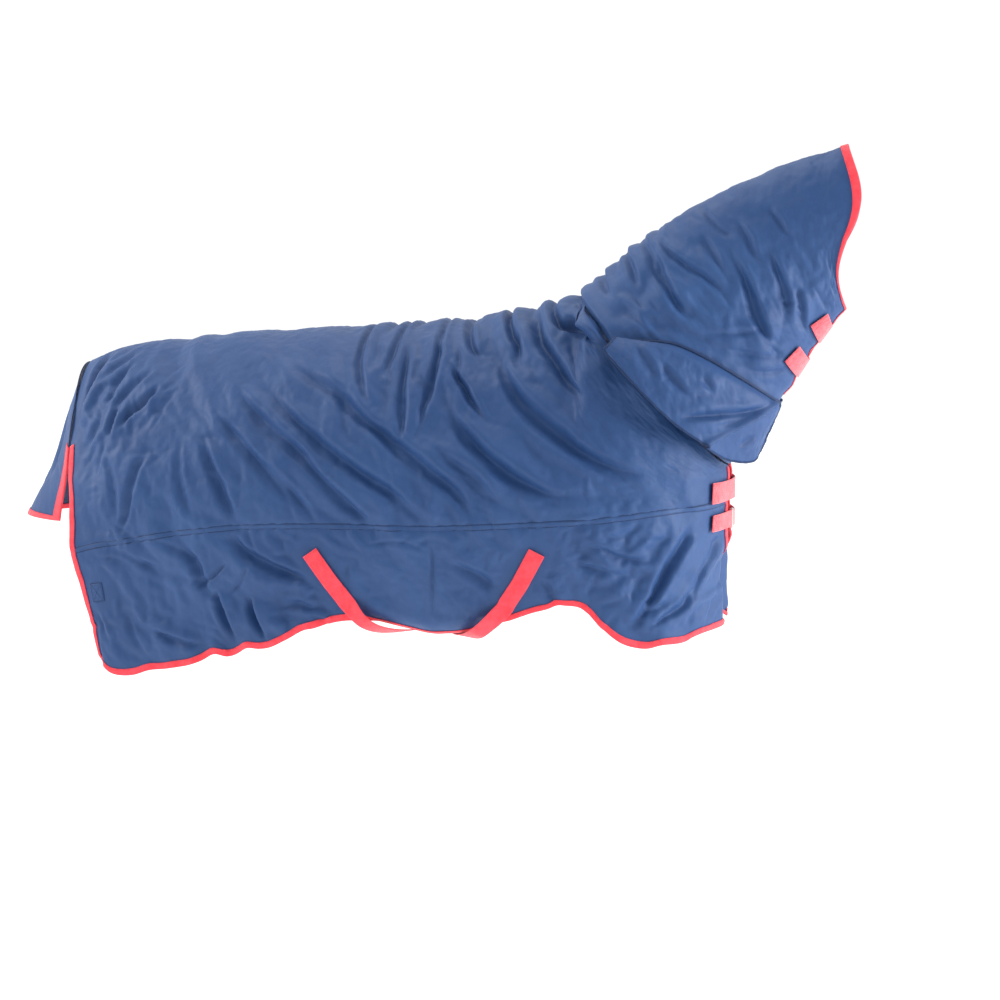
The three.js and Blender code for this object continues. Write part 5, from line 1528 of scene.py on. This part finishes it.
for name, (z, wide) in CHEST_STRAPS.items():
    right, right_out = chest_stops(z, CHEST_REACH, CHEST_EDGE, CHEST_LIFT, 9)
    left, left_out = right * MIRROR, right_out * MIRROR
    knots = np.array([*right[::4], (CHEST_EDGE + CHEST_BOW, 0, z), *left[::-4]])
    knot_outs = np.array([*right_out[::4], (1, 0, 0), *left_out[::-4]])
    at = np.linspace(0, len(knots) - 1, 60)
    hook_and_loop(name, wide, catmull(knots, at), unit(catmull(knot_outs, at)),
                  (left[3], left[-2]), (left[:5], left_out[:5]), slice(1, 8),
                  chest_stops(z, CHEST_REACH + 4, CHEST_EDGE - 8, CHEST_PAD_LIFT, 7), wide - 6)
bevelled("chest_lower_slide", "steel", 0.0005)

# ------------------------------------------------------------------ leg-strap anchors

def dee(name, centre, down, across, inward):
    """A D-ring of round bar: a straight bar across the top and a half-round bow below it."""
    half, leg, bar, bar_sides = 16, 12, 2, 12
    outline = [(0, y) for y in np.linspace(-half, half, 9)]
    outline += [(leg * 0.5, half)]
    outline += [(leg + half * math.sin(a), half * math.cos(a))
                for a in np.linspace(0, math.pi, 17)]
    outline += [(leg * 0.5, -half)]
    line = np.array([centre + down * x + across * y for x, y in outline])
    ahead = unit(np.roll(line, -1, 0) - np.roll(line, 1, 0))
    out = np.cross(ahead, inward)
    turn = np.linspace(0, 2 * np.pi, bar_sides + 1)[:-1]
    sections = (line[:, None] + out[:, None] * np.cos(turn)[None, :, None] * bar
                + inward * np.sin(turn)[None, :, None] * bar)
    ids = np.arange(len(line) * bar_sides).reshape(len(line), bar_sides)
    following = np.roll(ids, -1, 0)
    faces = np.stack([ids, np.roll(ids, -1, 1), np.roll(following, -1, 1), following],
                     -1).reshape(-1, 4)
    obj = make(f"{name}_round", sections, closed(sections, faces.tolist()), mats["steel"],
               name)
    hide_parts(name)


for side, turn in SIDES.items():
    x0, z0 = LEG_ANCHOR
    found = np.array([on_body(x0 + 0.15 * d, z0 - d) for d in np.linspace(-22, 22, 9)])
    line, outs = found[:, 0] * turn, found[:, 1] * turn
    patch = ribbon(f"leg_anchor_cloth_{side}", line + outs * 1.7, outs, LEG_PATCH, 1.0,
                   mats["navy"], "root", "navy_cloth")
    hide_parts(f"leg_anchor_patch_{side}")
    box_stitch(f"leg_anchor_stitch_{side}", line, outs, LEG_PATCH, 3.5, thread="navy_thread",
               slot="navy_cloth")
    bevelled(f"leg_ring_loop_{side}", "webbing", 0.0003)
    inward = -outs[4]
    down = line[5] - line[3]
    down = unit(down - inward * (down @ inward))
    dee(f"leg_ring_{side}", line[4] + inward * 7, down, np.cross(inward, down), inward)

# ------------------------------------------------------------------ studio

FLOOR_Z = -1.63  # metres, where the horse's hooves stand
scene = bpy.context.scene
scene.view_settings.view_transform = "Standard"
scene.view_settings.look = "None"

white, tree, shader, place = new_material("studio_white", 0.9)
join_inputs(tree, shader, {
    "Base Color": tint(tree, noise(tree, place, 2.0), (0.90, 0.90, 0.90), (0.93, 0.93, 0.93)),
    "Emission Color": (1, 1, 1, 1), "Emission Strength": 0.45})
bpy.ops.mesh.primitive_plane_add(size=40, location=(0, 0, FLOOR_Z))
floor = bpy.context.object
floor.name = "floor"
floor.data.materials.append(white)

world = scene.world or bpy.data.worlds.new("studio")
scene.world = world
world.use_nodes = True
# White all round, but dimmer above the open side of the studio that the rug's right faces.
sky = world.node_tree
direction = node(sky, "ShaderNodeTexCoord").outputs["Generated"]
facing = node(sky, "ShaderNodeVectorMath", {0: direction, 1: (0.1, -0.99, 0.05)},
              operation="DOT_PRODUCT").outputs["Value"]
height = node(sky, "ShaderNodeSeparateXYZ", {0: direction}).outputs[2]
spans = [node(sky, "ShaderNodeMapRange", {"From Min": low, "From Max": high, "Value": value},
              interpolation_type="SMOOTHSTEP").outputs[0]
         for value, low, high in ((facing, 0.05, 0.9), (height, 0.04, 0.3))]
both = node(sky, "ShaderNodeMath", dict(enumerate(spans)), operation="MULTIPLY").outputs[0]
join_inputs(sky, sky.nodes["Background"], {
    "Color": tint(sky, both, (1, 1, 1), (0.30, 0.30, 0.30), 0, 1), "Strength": 1.04})


def aimed(name, data, place, target):
    """A light or camera at a place, looking at a target."""
    obj = bpy.data.objects.new(name, data)
    scene.collection.objects.link(obj)
    obj.location = place
    obj.rotation_euler = (Vector(target) - Vector(place)).to_track_quat("-Z", "Y").to_euler()
    return obj


for name, place, target, size, power in (
        ("overhead", (-0.7, 0.1, 3.2), (-0.1, 0, -0.4), (3.0, 1.4), 48),
        ("from_behind_the_tail", (-4.0, -0.8, 1.4), (-0.6, 0, -0.4), (1.6, 2.4), 85),
        ("from_ahead", (3.8, -0.45, 0.1), (0.3, 0, -0.45), (1.6, 2.0), 130)):
    softbox = bpy.data.lights.new(name, "AREA")
    softbox.shape = "RECTANGLE"
    softbox.size, softbox.size_y = size
    softbox.energy = power
    aimed(name, softbox, place, target)

lens = bpy.data.cameras.new("camera")
lens.lens = 60
lens.sensor_width = 36
TARGET = Vector((-0.09, 0, -0.47))
TURN, RISE, DISTANCE = math.radians(11.5), math.radians(6.8), 4.15
scene.camera = aimed("camera", lens, TARGET + DISTANCE * Vector((
    math.sin(TURN) * math.cos(RISE), -math.cos(TURN) * math.cos(RISE), math.sin(RISE))), TARGET)
